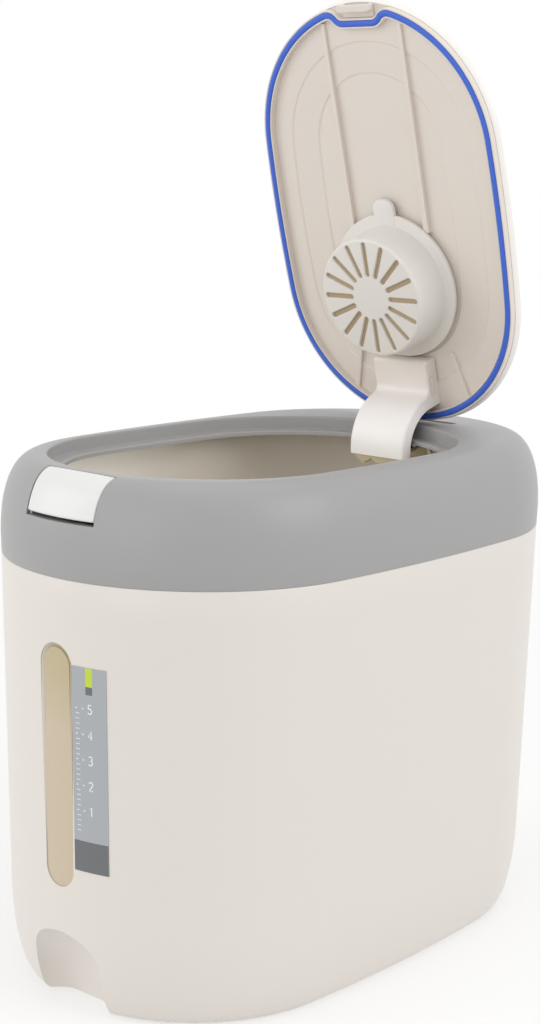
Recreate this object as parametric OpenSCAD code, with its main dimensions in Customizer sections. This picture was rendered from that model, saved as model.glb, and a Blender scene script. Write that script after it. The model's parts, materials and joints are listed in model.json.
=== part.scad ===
// Rice bin with a flip lid, a press latch and a freshness-pack holder.
// Millimetres. X is the width, Y the length, Z up; the latch is at the -Y end.
// Drawn at rest with the lid open; the lid closes by turning about the hinge pin.

/* [Bin] */
// Overall length of the bin
bin_length = 350; // [320:5:380]
// Overall width of the bin
bin_width = 218.4; // [196.4:1:240.4]
// How much less the end radius is than half the width, which bows the long sides
side_bow = 2.6; // [1.6:0.2:4.6]
// Height of the seam between body and collar
seam_height = 233.5; // [200:5:260]
// How much narrower each side of the body is at the floor than at the seam
body_draft = 5.2; // [3:0.5:7]
// Height of the rounded lower edge
lower_round_height = 48.5; // [36:2:56]
// Depth of the rounded lower edge
lower_round_depth = 11.1; // [8:1:14]
// Wall of the outer body
body_wall = 2.6; // [2:0.2:3]
// Thickness of the body floor
body_floor = 3; // [2:0.5:4]
// Rise of the underside inside the foot ring
foot_rise = 1.5; // [1:0.5:3]
// Width of the foot ring
foot_ring = 12; // [8:1:16]

/* [Inner bin] */
// Gap between outer body and inner bin
liner_gap = 2; // [1.5:0.25:3]
// Wall of the inner bin
liner_wall = 2; // [1.5:0.25:2.5]
// Floor of the inner bin
liner_floor = 2.5; // [2:0.25:4]
// Gap between the rim of the inner bin and the collar above it
liner_rim_gap = 11; // [10:0.5:14]

/* [Window and label] */
// Width of the level window
window_width = 20.4; // [16:0.4:22]
// Height of the level window
window_height = 129.8; // [100:5:140]
// Height of the middle of the window
window_middle = 133.4; // [125:1:137]
// Thickness of the window pane
pane_thickness = 2; // [1.5:0.25:2.4]
// Depth of the pane face below the body face
pane_recess = 0.6; // [0.2:0.1:0.8]
// Gap around the pane
pane_gap = 0.1; // [0.05:0.05:0.2]
// Width of the label
label_width = 20.4; // [16:0.4:24]
// Height of the label
label_height = 109; // [90:1:115]
// Gap between window and label
label_gap = 1.6; // [1:0.2:3]
// Drop of the label's middle below the window's middle
label_drop = -2.1; // [-4:0.1:4]
// Thickness of the label
label_thickness = 0.35; // [0.2:0.05:0.5]

/* [Finger recess] */
// Half width of the finger recess
recess_half_width = 24.5; // [20:0.5:28]
// Height of the finger recess
recess_height = 43.5; // [36:0.5:46]
// Depth of the finger recess behind the body's end at the floor
recess_depth = 26.3; // [22:0.5:27.3]
// Radius of the recess corners
recess_corner = 14; // [10:1:18]

/* [Collar] */
// Height of the collar
collar_height = 52; // [48:1:56]
// Bulge of the collar over the seam outline
collar_bulge = 0.3; // [0.1:0.1:0.8]
// Height of the plain band under the shoulder
collar_band = 10.4; // [8:0.4:12]
// Width of the rounded shoulder
shoulder_width = 19; // [17:0.5:20]
// Power of the shoulder curve, 2 is an ellipse
shoulder_power = 2.25; // [2:0.05:2.4]
// Wall of the collar
collar_wall = 2.5; // [2.2:0.1:2.8]
// Depth of the lip that enters the body
lip_depth = 5.5; // [4:0.5:8]
// Thickness of that lip
lip_wall = 1; // [0.8:0.1:1.2]
// Gap between lip and body
lip_gap = 0.2; // [0.1:0.05:0.3]

/* [Mouth] */
// Distance from the latch end of the bin to the mouth
mouth_front_margin = 25.8; // [25:0.2:28]
// Distance from the mouth to the hinge end of the bin
mouth_rear_margin = 67.6; // [62:0.4:74]
// Distance from the side of the bin to the mouth
mouth_side_margin = 22.4; // [20:0.2:26]
// How much less the mouth's end radius is than half its width
mouth_bow = 1.1; // [0.6:0.1:1.6]
// Depth of the ledge below the deck
ledge_depth = 8; // [7:0.5:9]
// Width of the ledge
ledge_width = 8; // [7:0.5:9]

/* [Lid] */
// Angle of the open lid
open_angle = 74.4; // [60:0.4:75]
// Gap between the lid's edge and the mouth
lid_gap = 0.6; // [0.5:0.05:0.8]
// Gap between gasket and ledge with the lid closed
seal_gap = 0.3; // [0.2:0.05:0.5]
// Width of the gasket
gasket_width = 3.4; // [2.6:0.2:3.8]
// Height of the gasket
gasket_height = 3; // [2.4:0.2:3.4]
// Distance from the mouth's edge to the middle of the gasket
gasket_inset = 5.2; // [5:0.1:5.6]
// Wall on each side of the gasket
groove_wall = 1; // [0.8:0.1:1.2]
// How far the gasket stands out of its groove
gasket_stand = 0.8; // [0.5:0.1:1.2]
// Distance of the panel's face above the gasket's face
panel_rise = 5; // [4.6:0.2:5.2]
// Thickness of the inner panel
panel_wall = 1.4; // [1.2:0.1:1.6]
// Height of each step pressed into the panel
panel_step = 0.6; // [0.3:0.1:0.8]
// Thickness of the lid cover
cover_wall = 1.7; // [1.4:0.1:1.8]
// Height of the crown of the lid above the deck
crown_height = 4.5; // [4:0.25:6]
// Half width of the straight part of the gasket's front notch
notch_half = 10.5; // [9.5:0.5:12]
// Depth of that notch
notch_depth = 8.3; // [7.8:0.1:8.8]
// Radius of the notch's bends
notch_bend = 7; // [6:0.5:8]
// Distance of the panel ribs from the middle
rib_place = 27.5; // [25:0.5:30]
// Width of the panel ribs
rib_width = 1.6; // [1.2:0.1:2]
// Height of the panel ribs
rib_height = 1.5; // [1:0.1:1.7]

// Distance from the lid's end to its first step
step_end = 24.3; // [20:0.3:28]
// Distance from the lid's side to its first step
step_side = 20.5; // [18:0.5:24]
// Distance from the first step to the second at the ends
step_end_spacing = 18; // [14:0.5:20]
// Distance from the first step to the second at the sides
step_side_spacing = 19.8; // [14:0.3:22]

/* [Hinge] */
// Distance of the pin behind the mouth's rear edge
pin_behind_mouth = 10.3; // [10:0.1:10.7]
// Depth of the pin below the deck
pin_below_deck = 13.8; // [13.5:0.1:14.2]
// Radius of the hinge pin
pin_radius = 2.5; // [2:0.1:2.7]
// Running clearance between pin and bushes
pin_clearance = 0.05; // [0.03:0.01:0.08]
// Wall of the bushes
bush_wall = 1.3; // [1:0.1:1.5]
// Outer radius of the goose-neck arm
arm_radius = 32.7; // [31.5:0.1:33.5]
// Depth of the arm's side walls
arm_depth = 8; // [7:0.25:8.5]
// Half width of the arm
arm_half = 20; // [19:0.5:20.5]
// Wall of the arm cover
arm_wall = 2; // [1.6:0.1:2.2]
// Length of the arm's foot on the panel
foot_length = 29.1; // [27:0.1:31]
// Height of the foot above the panel
foot_height = 9.6; // [8:0.2:10.4]
// Radius of the lugs and the bracket's eyes
lug_radius = 6; // [5.6:0.1:6.2]
// Width of one lug
lug_width = 4; // [3:0.25:4.5]
// Half the distance between the two rows of arm screws
arm_screw_half = 9; // [8.6:0.2:10]
// Distance of the first arm screws from the pin
arm_screw_reach = 35.6; // [35:0.2:37]
// Distance between the first and the second arm screws
arm_screw_spacing = 11; // [10:0.2:12]
// Gap between arm frame and arm cover
frame_gap = 0.2; // [0.1:0.05:0.3]
// Gap between arm and bracket eye
eye_gap = 2; // [1:0.25:3]
// Thickness of a bracket eye
eye_width = 4; // [3:0.25:5]
// Thickness of the bracket's plate
bracket_plate = 2.5; // [2:0.25:3]
// Distance from the bracket's lugs to the front edge of its plate
bracket_clearance = 4.5; // [4:0.1:5]
// How far the plate runs past the eyes and past its last screws
bracket_margin = 5; // [4:0.2:6]
// Height of the plate's upper face above the pin
bracket_rise = 2.3; // [2:0.1:2.6]
// Distance of the first bracket screws behind the pin
bracket_screw_reach = 18.3; // [17.5:0.1:19]
// Distance between the first and the second bracket screws
bracket_screw_spacing = 10; // [9:0.2:11]
// Length of the bracket's screws
bracket_screw_length = 9; // [7:0.5:9]
// Wire radius of the hinge spring
hinge_wire = 0.7; // [0.5:0.05:0.8]
// Turns of the hinge spring
hinge_turns = 7; // [4:1:9]

/* [Freshness holder] */
// Gap between the holder's flange and the foot of the arm
holder_gap = 0.4; // [0.3:0.1:1]
// Radius of the cap's face
cap_radius = 36; // [34:0.5:37]
// Height of the cap's face above the gasket's face
cap_height = 22; // [18:0.5:24]
// Flare of the cap from face to foot
cap_flare = 1.5; // [1:0.1:2]
// Wall of the cap
cap_wall = 1.6; // [1.4:0.1:2]
// Number of slots in the cap
slot_count = 16; // [12:1:18]
// Inner end of the slots
slot_inner = 14.5; // [12:0.5:18]
// Outer end of the slots
slot_outer = 32.5; // [28:0.5:32.5]
// Width of the slots
slot_width = 3; // [2:0.1:3.2]
// Radius of the holder's flange
flange_radius = 44; // [43:0.25:44.5]
// Height of the flange's face above the panel
flange_rise = 4; // [3.8:0.1:4.4]
// Width of the thumb tab
tab_width = 15; // [12:0.5:16]
// Reach of the thumb tab from the holder's middle
tab_reach = 53; // [50:0.5:54]
// Height of the thumb tab
tab_height = 5.4; // [4:0.2:7]
// Radius of the freshness pack
pack_radius = 31; // [26:0.5:32]

/* [Latch] */
// Half width of the latch button
button_half = 24.3; // [22:0.1:25]
// Height of the button's lower edge below the deck
button_drop = 21.1; // [20:0.1:22]
// Depth of the button from the end of the bin to its upper edge
button_depth = 20; // [19.5:0.1:20.2]
// Thickness of the button
button_wall = 2.2; // [1.8:0.1:2.4]
// Gap beside the button
button_gap = 0.5; // [0.4:0.05:0.8]
// Gap below the button, which lets it turn in
button_lower_gap = 2.2; // [2.1:0.05:2.5]
// Distance of the button's pivot behind the end of the bin
pivot_back = 18.5; // [18:0.1:19]
// Depth of that pivot below the deck
pivot_drop = 9; // [8.6:0.1:9.4]
// Depth below the pivot at which the button pushes the slider
push_drop = 17; // [16:0.1:17.4]
// Radius of the cheeks round the button's trunnions
cheek_radius = 4; // [3.8:0.1:4.2]
// Thickness of the button's cheeks
cheek_wall = 2.2; // [1.8:0.1:2.4]
// Distance of the latch housing behind the end of the bin
house_set = 7.4; // [7:0.1:8]
// Distance of the slider's pad behind the end of the bin
pad_set = 8.6; // [8.4:0.1:9]
// Thickness of the slider's pad
pad_wall = 2; // [1.6:0.1:2.4]
// Distance of the slider's guide behind the end of the bin
guide_set = 21; // [20:0.2:22]
// Length of that guide
guide_length = 8; // [7:0.2:8.4]
// Half width of the slider
slider_half = 6; // [5:0.2:7]
// Depth of the housing's flanges below the deck
latch_flange_drop = 17.5; // [17:0.1:18]
// Length of the housing's screws
latch_screw_length = 9; // [7:0.5:9]
// Travel of the button in degrees
button_travel = 6; // [5:0.5:6]
// Radius of the button's trunnions
trunnion_radius = 2; // [1.5:0.1:2.1]
// Running clearance of the trunnions
trunnion_clearance = 0.06; // [0.03:0.01:0.09]
// Thickness of the latch plates
latch_plate = 2.5; // [2:0.1:2.6]
// Sliding clearance of the latch slider
slide_clearance = 0.3; // [0.2:0.05:0.4]
// Half width of the catch loop on the lid
catch_half = 10.6; // [9.5:0.1:10.8]
// Thickness of the catch bar
catch_bar = 2.4; // [2:0.1:2.6]
// Wire radius of the latch spring
latch_wire = 0.35; // [0.25:0.05:0.45]

/* [Screws] */
// Shank radius of the screws
screw_radius = 1.3; // [1:0.1:1.5]
// Head radius of the screws
head_radius = 2.6; // [2.2:0.1:2.8]
// Head height of the screws
head_height = 1.6; // [1.2:0.1:2]
// Radius of the screw bosses
boss_radius = 3.6; // [3.2:0.1:4]

/* [Hidden] */

$fn = 48;
side_fn = 320;      // fragments of a full circle on the long, slow side curves
end_fn = 80;        // fragments of a full circle on the rounded ends
side_cuts = 8;      // the same for the faceted shells, per side arc
end_cuts = 40;      // and per end arc
curve_steps = 7;    // chords along a rounded profile
MIDDLE = -999;      // an offset that means "as far in as the middle of the oval"
far = 400;

end_radius = bin_width / 2 - side_bow;
bin_oval = [bin_length / 2, bin_width / 2, end_radius];
mouth_width = bin_width - 2 * mouth_side_margin;
mouth_radius = mouth_width / 2 - mouth_bow;
front = -bin_length / 2;
deck = seam_height + collar_height;
mouth_front = front + mouth_front_margin;
mouth_rear = bin_length / 2 - mouth_rear_margin;
mouth_y = (mouth_front + mouth_rear) / 2;
mouth_oval = [(mouth_rear - mouth_front) / 2, mouth_width / 2, mouth_radius];
ledge = deck - ledge_depth;
ledge_under = ledge - collar_wall;
inner_floor = foot_rise + body_floor;
pin_y = mouth_rear + pin_behind_mouth;
pin_z = deck - pin_below_deck;
pin_reach = pin_y - mouth_y;
arm_inner = arm_radius - arm_depth;
holder_back = pin_reach - arm_inner - foot_length - holder_gap - flange_radius;

// Heights with the lid closed
seal_face = ledge + seal_gap;
groove_top = seal_face + gasket_stand;
groove_floor = seal_face + gasket_height;
panel_face = seal_face + panel_rise;
panel_back = panel_face + panel_wall;

// ---- ovals ----
// An oval is [half length, half width, end radius]: two end arcs and two slow side arcs.
function oval_reach(o) = o[0] - o[2];
function side_radius(o) =
    (o[1] * o[1] + oval_reach(o) * oval_reach(o) - o[2] * o[2]) / (2 * (o[1] - o[2]));
function side_centre(o) = side_radius(o) - o[1];
function side_angle(o) = atan2(oval_reach(o), side_centre(o));
function ring_points(points, radius, core) =
    [for (p = points) [max(radius + p[0], core), p[1]]];

// Sweeps a profile of [offset, height] points round the oval.
module oval_sweep(o, points) {
    angle = side_angle(o);
    centre = side_centre(o);
    for (turn = [0, 180]) rotate([0, 0, turn]) {
        translate([-centre, 0, 0]) rotate([0, 0, -angle])
            rotate_extrude(angle = 2 * angle, $fn = side_fn)
                polygon(ring_points(points, side_radius(o), centre - 5));
        translate([0, oval_reach(o), 0]) rotate([0, 0, angle])
            rotate_extrude(angle = 180 - 2 * angle, $fn = end_fn)
                polygon(ring_points(points, o[2], 0));
    }
}
// The flat oval, moved out by offset
module oval_flat(o, offset) {
    radius = side_radius(o) + offset;
    reach = radius * sin(side_angle(o));
    for (end = [-1, 1]) translate([0, end * oval_reach(o)]) circle(o[2] + offset, $fn = end_fn);
    intersection() {
        translate([side_centre(o), 0]) circle(radius, $fn = side_fn);
        translate([-side_centre(o), 0]) circle(radius, $fn = side_fn);
        square([far, 2 * reach], center = true);
    }
}
module oval_block(o, offset, low, high) {
    translate([0, 0, low]) linear_extrude(high - low) oval_flat(o, offset);
}
module oval_ring(o, inner, outer, low, high) {
    translate([0, 0, low]) linear_extrude(high - low) difference() {
        oval_flat(o, outer);
        oval_flat(o, inner);
    }
}
// Points of an oval moved out by offset, at height z: right side, rear end, left side, front end
function arc_points(middle, radius, start, turn, cuts, z) =
    [for (i = [0:cuts - 1]) let (a = start + turn * i / cuts)
        [middle[0] + radius * cos(a), middle[1] + radius * sin(a), z]];
function oval_points(o, offset, z) =
    let (a = side_angle(o), c = side_centre(o), r = side_radius(o) + offset, e = o[2] + offset)
    concat(arc_points([-c, 0], r, -a, 2 * a, side_cuts, z),
           arc_points([0, oval_reach(o)], e, a, 180 - 2 * a, end_cuts, z),
           arc_points([c, 0], r, 180 - a, 2 * a, side_cuts, z),
           arc_points([0, -oval_reach(o)], e, 180 + a, 180 - 2 * a, end_cuts, z));
// A solid whose side follows [offset, height] points from the bottom to the top
module oval_solid(o, points) {
    around = 2 * (side_cuts + end_cuts);
    rings = len(points);
    polyhedron(
        points = [for (p = points) each oval_points(o, p[0], p[1])],
        faces = concat(
            [[for (i = [0:around - 1]) i]],
            [[for (i = [around - 1:-1:0]) (rings - 1) * around + i]],
            [for (k = [0:rings - 2], i = [0:around - 1])
                [k * around + i, (k + 1) * around + i,
                 (k + 1) * around + (i + 1) % around, k * around + (i + 1) % around]]));
}
// The front end alone, as a body of revolution
module front_solid(points) {
    translate([0, -oval_reach(bin_oval), 0]) rotate_extrude($fn = end_fn) polygon(concat(
        [[0, points[0][1]]], [for (p = points) [end_radius + p[0], p[1]]],
        [[0, points[len(points) - 1][1]]]));
}

// ---- profiles ----
function drafted(z) = -body_draft * (1 - z / seam_height);
function round_angle(i) = 90 - 90 * i / curve_steps;
// The body's side from a floor at z0 up to the seam, moved in by inset
function body_side(z0, inset) = [
    for (i = [0:curve_steps])
        let (z = z0 + (lower_round_height - z0) * (1 - sin(round_angle(i))))
        [drafted(z) - inset - lower_round_depth * (1 - cos(round_angle(i))), z],
    [-inset, seam_height]];
// The shoulder of the collar, moved in by inset, from the band up to the deck
function shoulder(inset) = [
    for (i = [0:curve_steps])
        let (part = sin(90 * i / curve_steps),
             across = pow(1 - pow(part, shoulder_power), 1 / shoulder_power))
        [collar_bulge - shoulder_width + (shoulder_width - inset) * across,
         seam_height + collar_band + (collar_height - collar_band - inset) * part]];
function backwards(list) = [for (i = [len(list) - 1:-1:0]) list[i]];

function collar_skin(inset) = concat([[-inset, seam_height]], shoulder(inset));

// ---- outer body ----
// The scoop under the front end; grow makes the shell that lines it.
module finger_scoop(grow) {
    half = recess_half_width + grow;
    top = recess_height + grow;
    back = front + recess_depth + grow;
    corner = recess_corner + grow;
    // The back of the scoop is an arc that meets the floor square and leans out above.
    lean = recess_depth - body_draft + 1;
    arc = (lean * lean + top * top) / (2 * lean);
    intersection() {
        translate([0, front + far / 2 - 40, 0]) rotate([90, 0, 0])
            linear_extrude(far, center = true) {
                translate([-half, -1]) square([2 * half, top - corner + 1]);
                for (side = [-1, 1]) translate([side * (half - corner), top - corner])
                    circle(corner);
                translate([-half + corner, -1]) square([2 * (half - corner), top + 1]);
            }
        translate([0, back - arc, 0]) rotate([0, 90, 0])
            cylinder(r = arc, h = 4 * half, center = true, $fn = end_fn);
        translate([0, 0, -1]) linear_extrude(top + 2) {
            translate([-half, front - 40]) square([2 * half, back - corner - front + 40]);
            for (side = [-1, 1]) translate([side * (half - corner), back - corner])
                circle(corner);
            translate([-half + corner, front - 40])
                square([2 * (half - corner), back - front + 40]);
        }
    }
}
module window_shape(grow) {
    half = window_width / 2 + grow;
    straight = window_height - window_width;
    translate([0, front, window_middle]) rotate([90, 0, 0])
        linear_extrude(bin_width / 2, center = true) {
        square([2 * half, straight], center = true);
        for (side = [-1, 1]) translate([0, side * straight / 2]) circle(half);
    }
}
module outer_body() {
    color("#e6e3de") difference() {
        oval_solid(bin_oval, body_side(0, 0));
        difference() {
            oval_solid(bin_oval, concat(body_side(inner_floor, body_wall),
                                        [[-body_wall, seam_height + 1]]));
            finger_scoop(body_wall);
        }
        finger_scoop(0);
        oval_block(bin_oval, -body_draft - lower_round_depth - foot_ring, -1, foot_rise);
        window_shape(0);
    }
}

// ---- inner bin ----
liner_inset = body_wall + liner_gap;
liner_top = deck - collar_wall - liner_rim_gap;
liner_top_inset = liner_inset + shoulder_width / 5;
latch_bay_half = button_half + button_gap + latch_plate + liner_gap;
latch_bay_bottom = deck - button_drop - 13.4;
latch_bay_depth = 40;
function liner_outline(z0, inset, top) = concat(
    body_side(z0, inset),
    [[-inset, seam_height + collar_band * 0.6],
     [-inset - liner_top_inset + liner_inset, top]]);
module inner_bin() {
    color([0.72, 0.67, 0.58, 0.6]) difference() {
        oval_solid(bin_oval, liner_outline(inner_floor, liner_inset, liner_top));
        difference() {
            oval_solid(bin_oval, liner_outline(inner_floor + liner_floor, liner_inset + liner_wall,
                                               liner_top + 1));
            finger_scoop(body_wall + liner_gap + liner_wall);
        }
        finger_scoop(body_wall + liner_gap);
        translate([-latch_bay_half, front - 20, latch_bay_bottom])
            cube([2 * latch_bay_half, 20 + latch_bay_depth, far]);
    }
}

// ---- window and label ----
module skin_ring(inner, outer) {
    oval_sweep(bin_oval, [[drafted(lower_round_height) + inner, lower_round_height],
                          [drafted(lower_round_height) + outer, lower_round_height],
                          [outer, seam_height], [inner, seam_height]]);
}
module window_pane() {
    color([0.78, 0.72, 0.6, 0.6]) intersection() {
        skin_ring(-pane_recess - pane_thickness, -pane_recess);
        window_shape(-pane_gap);
    }
}
module level_label() {
    left = window_width / 2 + label_gap;
    middle = window_middle - label_drop;
    color("#acb0b3") intersection() {
        skin_ring(0.06, 0.06 + label_thickness);
        translate([left, front - 10, middle - label_height / 2])
            cube([label_width, 40, label_height]);
    }
}

// ---- collar ----
opening_bottom = deck - button_drop - button_lower_gap;
opening_back = front + button_depth + button_gap;
latch_boss_x = latch_bay_half + boss_radius;
latch_boss_y = mouth_front - collar_wall - boss_radius + 1.5;
bracket_boss_x = arm_half + eye_gap + eye_width;
bracket_boss_y = [pin_y + bracket_screw_reach,
                  pin_y + bracket_screw_reach + bracket_screw_spacing];
bracket_top = pin_z + bracket_rise;
latch_flange_top = deck - latch_flange_drop;
lip_inner = -body_wall - lip_gap - lip_wall;
relief_half = 26;
relief_depth = 0.9;
pocket_half = catch_half + 1.2;
tongue_half = button_half + button_gap + latch_plate + 1;
// Middle line of the gasket's front notch, measured from the middle of the mouth
seal_oval = [mouth_oval[0] - gasket_inset, mouth_oval[1] - gasket_inset,
             mouth_oval[2] - gasket_inset];
notch_line = seal_oval[0] - notch_depth;
groove_half = gasket_width / 2 + 0.1;
tongue_inner = mouth_y - notch_line + groove_half + groove_wall + 1.2;
pocket_inner = mouth_y - notch_line - groove_half - groove_wall - 0.4;
mouth_bevel = 1;
panel_edge = -lid_gap - cover_wall - 0.1;
swing_half = 60;
swing_steps = 10;
swing_far = 60;
swing_gap = 0.4;
swing_start = 152;   // degrees from +Y about the pin where the cut starts
swing_turn = 76;     // and how far it runs up and over

module collar() {
    color("#b0b0b0") difference() {
        union() {
            difference() {
                oval_solid(bin_oval, concat([[0, seam_height]], shoulder(0)));
                oval_solid(bin_oval, concat([[collar_bulge - collar_wall, seam_height - 1]],
                                            shoulder(collar_wall)));
            }
            oval_ring(bin_oval, lip_inner, -1, seam_height, seam_height + 2);
            oval_ring(bin_oval, lip_inner, lip_inner + lip_wall, seam_height - lip_depth,
                      seam_height + 1);
            // thicker deck beside the swing of the lid
            translate([-relief_half - 8, mouth_rear - 1, deck - collar_wall - 3])
                cube([2 * relief_half + 16, 16, 4]);
            latch_bosses();
            bracket_bosses();
            translate([0, mouth_y, 0])
                oval_ring(mouth_oval, -ledge_width, collar_wall, ledge_under, deck);
            translate([-tongue_half, mouth_front, ledge_under])
                cube([2 * tongue_half, tongue_inner - mouth_front, collar_wall]);
        }
        translate([0, mouth_y, 0]) oval_solid(mouth_oval, [
            [0, ledge], [0, deck - mouth_bevel], [mouth_bevel, deck], [mouth_bevel + 1, deck + 1]]);
        difference() {
            translate([0, mouth_y, 0])
                oval_block(mouth_oval, -ledge_width, ledge_under - 8, ledge + 1);
            translate([-tongue_half, mouth_front - 20, ledge_under])
                cube([2 * tongue_half, tongue_inner - mouth_front + 20, collar_wall + 2]);
        }
        translate([-pocket_half, mouth_front, ledge_under - 1])
            cube([2 * pocket_half, pocket_inner - mouth_front, collar_wall + 2]);
        translate([-button_half - button_gap, front - 20, opening_bottom])
            cube([2 * (button_half + button_gap), opening_back - front + 20, far]);
        translate([-relief_half, mouth_rear + 4, deck - relief_depth])
            cube([2 * relief_half, 20, 10]);
        lid_swing();
        latch_screw_holes();
        bracket_screw_holes();
    }
}
// The room the lid's groove wall needs as it turns about the pin at the rear of the mouth
module lid_swing() {
    reach = mouth_y + oval_reach(mouth_oval) - pin_y;
    radius = mouth_radius + panel_edge;
    translate([0, pin_y, pin_z]) rotate([swing_start - 180, 0, 0]) rotate([0, 90, 0])
        rotate([0, 0, -90 - swing_turn]) rotate_extrude(angle = swing_turn, $fn = end_fn)
            polygon(concat([[swing_far, swing_half], [swing_far, -swing_half]],
                [for (i = [-swing_steps:swing_steps])
                    let (x = swing_half * i / swing_steps,
                         y = reach + sqrt(radius * radius - x * x))
                    [sqrt(y * y + pow(groove_top - pin_z, 2)) - swing_gap, x]]));
}
module latch_bosses() {
    for (side = [-1, 1]) translate([side * latch_boss_x, latch_boss_y, latch_flange_top])
        cylinder(r = boss_radius, h = deck - 2 - latch_flange_top);
}
module latch_screw_holes() {
    for (side = [-1, 1]) translate([side * latch_boss_x, latch_boss_y, latch_flange_top - 1])
        cylinder(r = screw_radius, h = 9);
}
module bracket_bosses() {
    for (side = [-1, 1], y = bracket_boss_y) translate([side * bracket_boss_x, y, bracket_top])
        cylinder(r = boss_radius, h = deck - 1 - bracket_top);
}
module bracket_screw_holes() {
    for (side = [-1, 1], y = bracket_boss_y) translate([side * bracket_boss_x, y, bracket_top - 1])
        cylinder(r = screw_radius, h = 8);
}
// A pan-head screw with its head below z = 0 and its shank going up
module screw(length) {
    translate([0, 0, -head_height]) cylinder(r = head_radius, h = head_height);
    cylinder(r = screw_radius, h = length);
}

// ---- latch ----
pivot_y = front + pivot_back;
pivot_z = deck - pivot_drop;
push_z = pivot_z - push_drop;
slide = (pivot_z - push_z) * sin(button_travel);
bar_low = seal_face - 2.5;
bar_outer = mouth_y - notch_line - 10.7;
bar_inner = bar_outer + 3.6;
nose_low = bar_low + catch_bar + 0.3;
nose_high = nose_low + 2.3;
stem_front = bar_inner + 0.2;
stem_back = stem_front + 1.4;
pad_front = front + pad_set;
pad_back = pad_front + pad_wall;
guide_front = front + guide_set;
guide_back = guide_front + guide_length;
slider_low = push_z - 1.5;
slider_high = push_z + 1.5;
house_half = button_half + button_gap + latch_plate;
house_low = slider_low - slide_clearance - 2.2 - latch_plate;
house_floor = house_low + latch_plate;
house_front = front + house_set;
house_step = 3;
house_back = stem_back + slide + 0.9 + latch_plate;

// Draws a flat (y, z) shape from x = low to x = high
module across(low, high) {
    translate([low, 0, 0]) rotate([90, 0, 90]) linear_extrude(high - low) children();
}
module collar_solid(inset) {
    front_solid(concat([[-inset, seam_height]], shoulder(inset)));
}
module latch_housing() {
    inside = house_half - latch_plate;
    color("#9a9a98") difference() {
        union() {
            translate([-house_half, house_front, house_low])
                cube([2 * house_half, house_back - house_front, ledge_under - 0.2 - house_low]);
            for (side = [-1, 1]) across(side * house_half - (side > 0 ? latch_plate : 0),
                                        side * house_half + (side > 0 ? 0 : latch_plate)) {
                translate([pivot_y, pivot_z]) circle(cheek_radius);
                translate([pivot_y - cheek_radius, pivot_z - 10]) square([2 * cheek_radius, 10]);
            }
            for (side = [-1, 1])
                translate([side * (latch_boss_x - 1), latch_boss_y, latch_flange_top - latch_plate / 2])
                    cube([2 * boss_radius + 4, 2 * boss_radius + 1, latch_plate], center = true);
        }
        translate([-inside, house_front - 1, house_floor])
            cube([2 * inside, house_back - latch_plate - house_front + 1, far]);
        // the front stays clear of the rounded shoulder, in two steps
        translate([-far / 2, house_front - 1, opening_bottom - 1])
            cube([far, 1 + house_step, far]);
        translate([-far / 2, house_front - 1, pivot_z - 6])
            cube([far, pivot_y - cheek_radius - 0.2 - house_front + 1, far]);
        translate([0, pivot_y, pivot_z]) rotate([0, 90, 0])
            cylinder(r = trunnion_radius + trunnion_clearance, h = far, center = true);
        for (side = [-1, 1]) translate([side * latch_boss_x, latch_boss_y, latch_flange_top - 5])
            cylinder(r = screw_radius + 0.2, h = 10);
    }
    color("#9a9a98") difference() {
        translate([-slider_half - 2.3, guide_front, house_floor - 0.5])
            cube([2 * slider_half + 4.6, guide_back - guide_front, slider_high + 2.8 - house_floor]);
        translate([-slider_half - slide_clearance, guide_front - 1, slider_low - slide_clearance])
            cube([2 * (slider_half + slide_clearance), guide_back - guide_front + 2,
                  slider_high - slider_low + 2 * slide_clearance]);
    }
}
module latch_screws() {
    color("#c8c8c8") for (side = [-1, 1])
        translate([side * latch_boss_x, latch_boss_y, latch_flange_top - latch_plate])
            screw(latch_screw_length);
}
module latch_button() {
    color("#f4f4f2") {
        intersection() {
            difference() {
                front_solid(shoulder(0));
                front_solid(concat([[collar_bulge - button_wall, seam_height]],
                                   shoulder(button_wall)));
            }
            translate([-button_half, front - 20, deck - button_drop])
                cube([2 * button_half, button_depth + 20, far]);
        }
        intersection() {
            for (side = [-1, 1]) across(side * button_half - (side > 0 ? cheek_wall : 0),
                                        side * button_half + (side > 0 ? 0 : cheek_wall)) {
                translate([pivot_y, pivot_z]) circle(cheek_radius);
                polygon([[pivot_y, pivot_z - cheek_radius], [front, pivot_z - 11], [front, deck],
                         [pivot_y + 1.5, deck], [pivot_y + 1.5, pivot_z]]);
            }
            collar_solid(1);
        }
        for (side = [-1, 1]) translate([side * (button_half + 1), pivot_y, pivot_z])
            rotate([0, 90, 0]) cylinder(r = trunnion_radius, h = 3.6, center = true);
        intersection() {
            translate([-5, front, deck - button_drop + 0.6])
                cube([10, pad_front - 0.3 - front, 2.4]);
            collar_solid(1);
        }
        translate([-5, pad_front - 2.7, push_z - 2.4])
            cube([10, 2.4, deck - button_drop + 3 - push_z + 2.4]);
    }
}
module latch_hook() {
    color("#8f9296") {
        translate([-5, pad_front, push_z - 2.5]) cube([10, pad_wall, 5]);
        translate([0, pad_back, push_z]) rotate([-90, 0, 0])
            cylinder(r = 1.4, h = guide_front - pad_back);
        translate([-slider_half, guide_front - 0.5, slider_low])
            cube([2 * slider_half, stem_back - guide_front + 0.5, slider_high - slider_low]);
        translate([-slider_half, stem_front, slider_low])
            cube([2 * slider_half, stem_back - stem_front, nose_high - slider_low]);
        difference() {
            translate([-slider_half, stem_front - slide + 0.7, nose_low])
                cube([2 * slider_half, slide, nose_high - nose_low]);
            translate([0, stem_front - slide + 0.7, nose_high]) rotate([45, 0, 0])
                cube([far, 1.6, 1.6], center = true);
        }
    }
}
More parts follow.
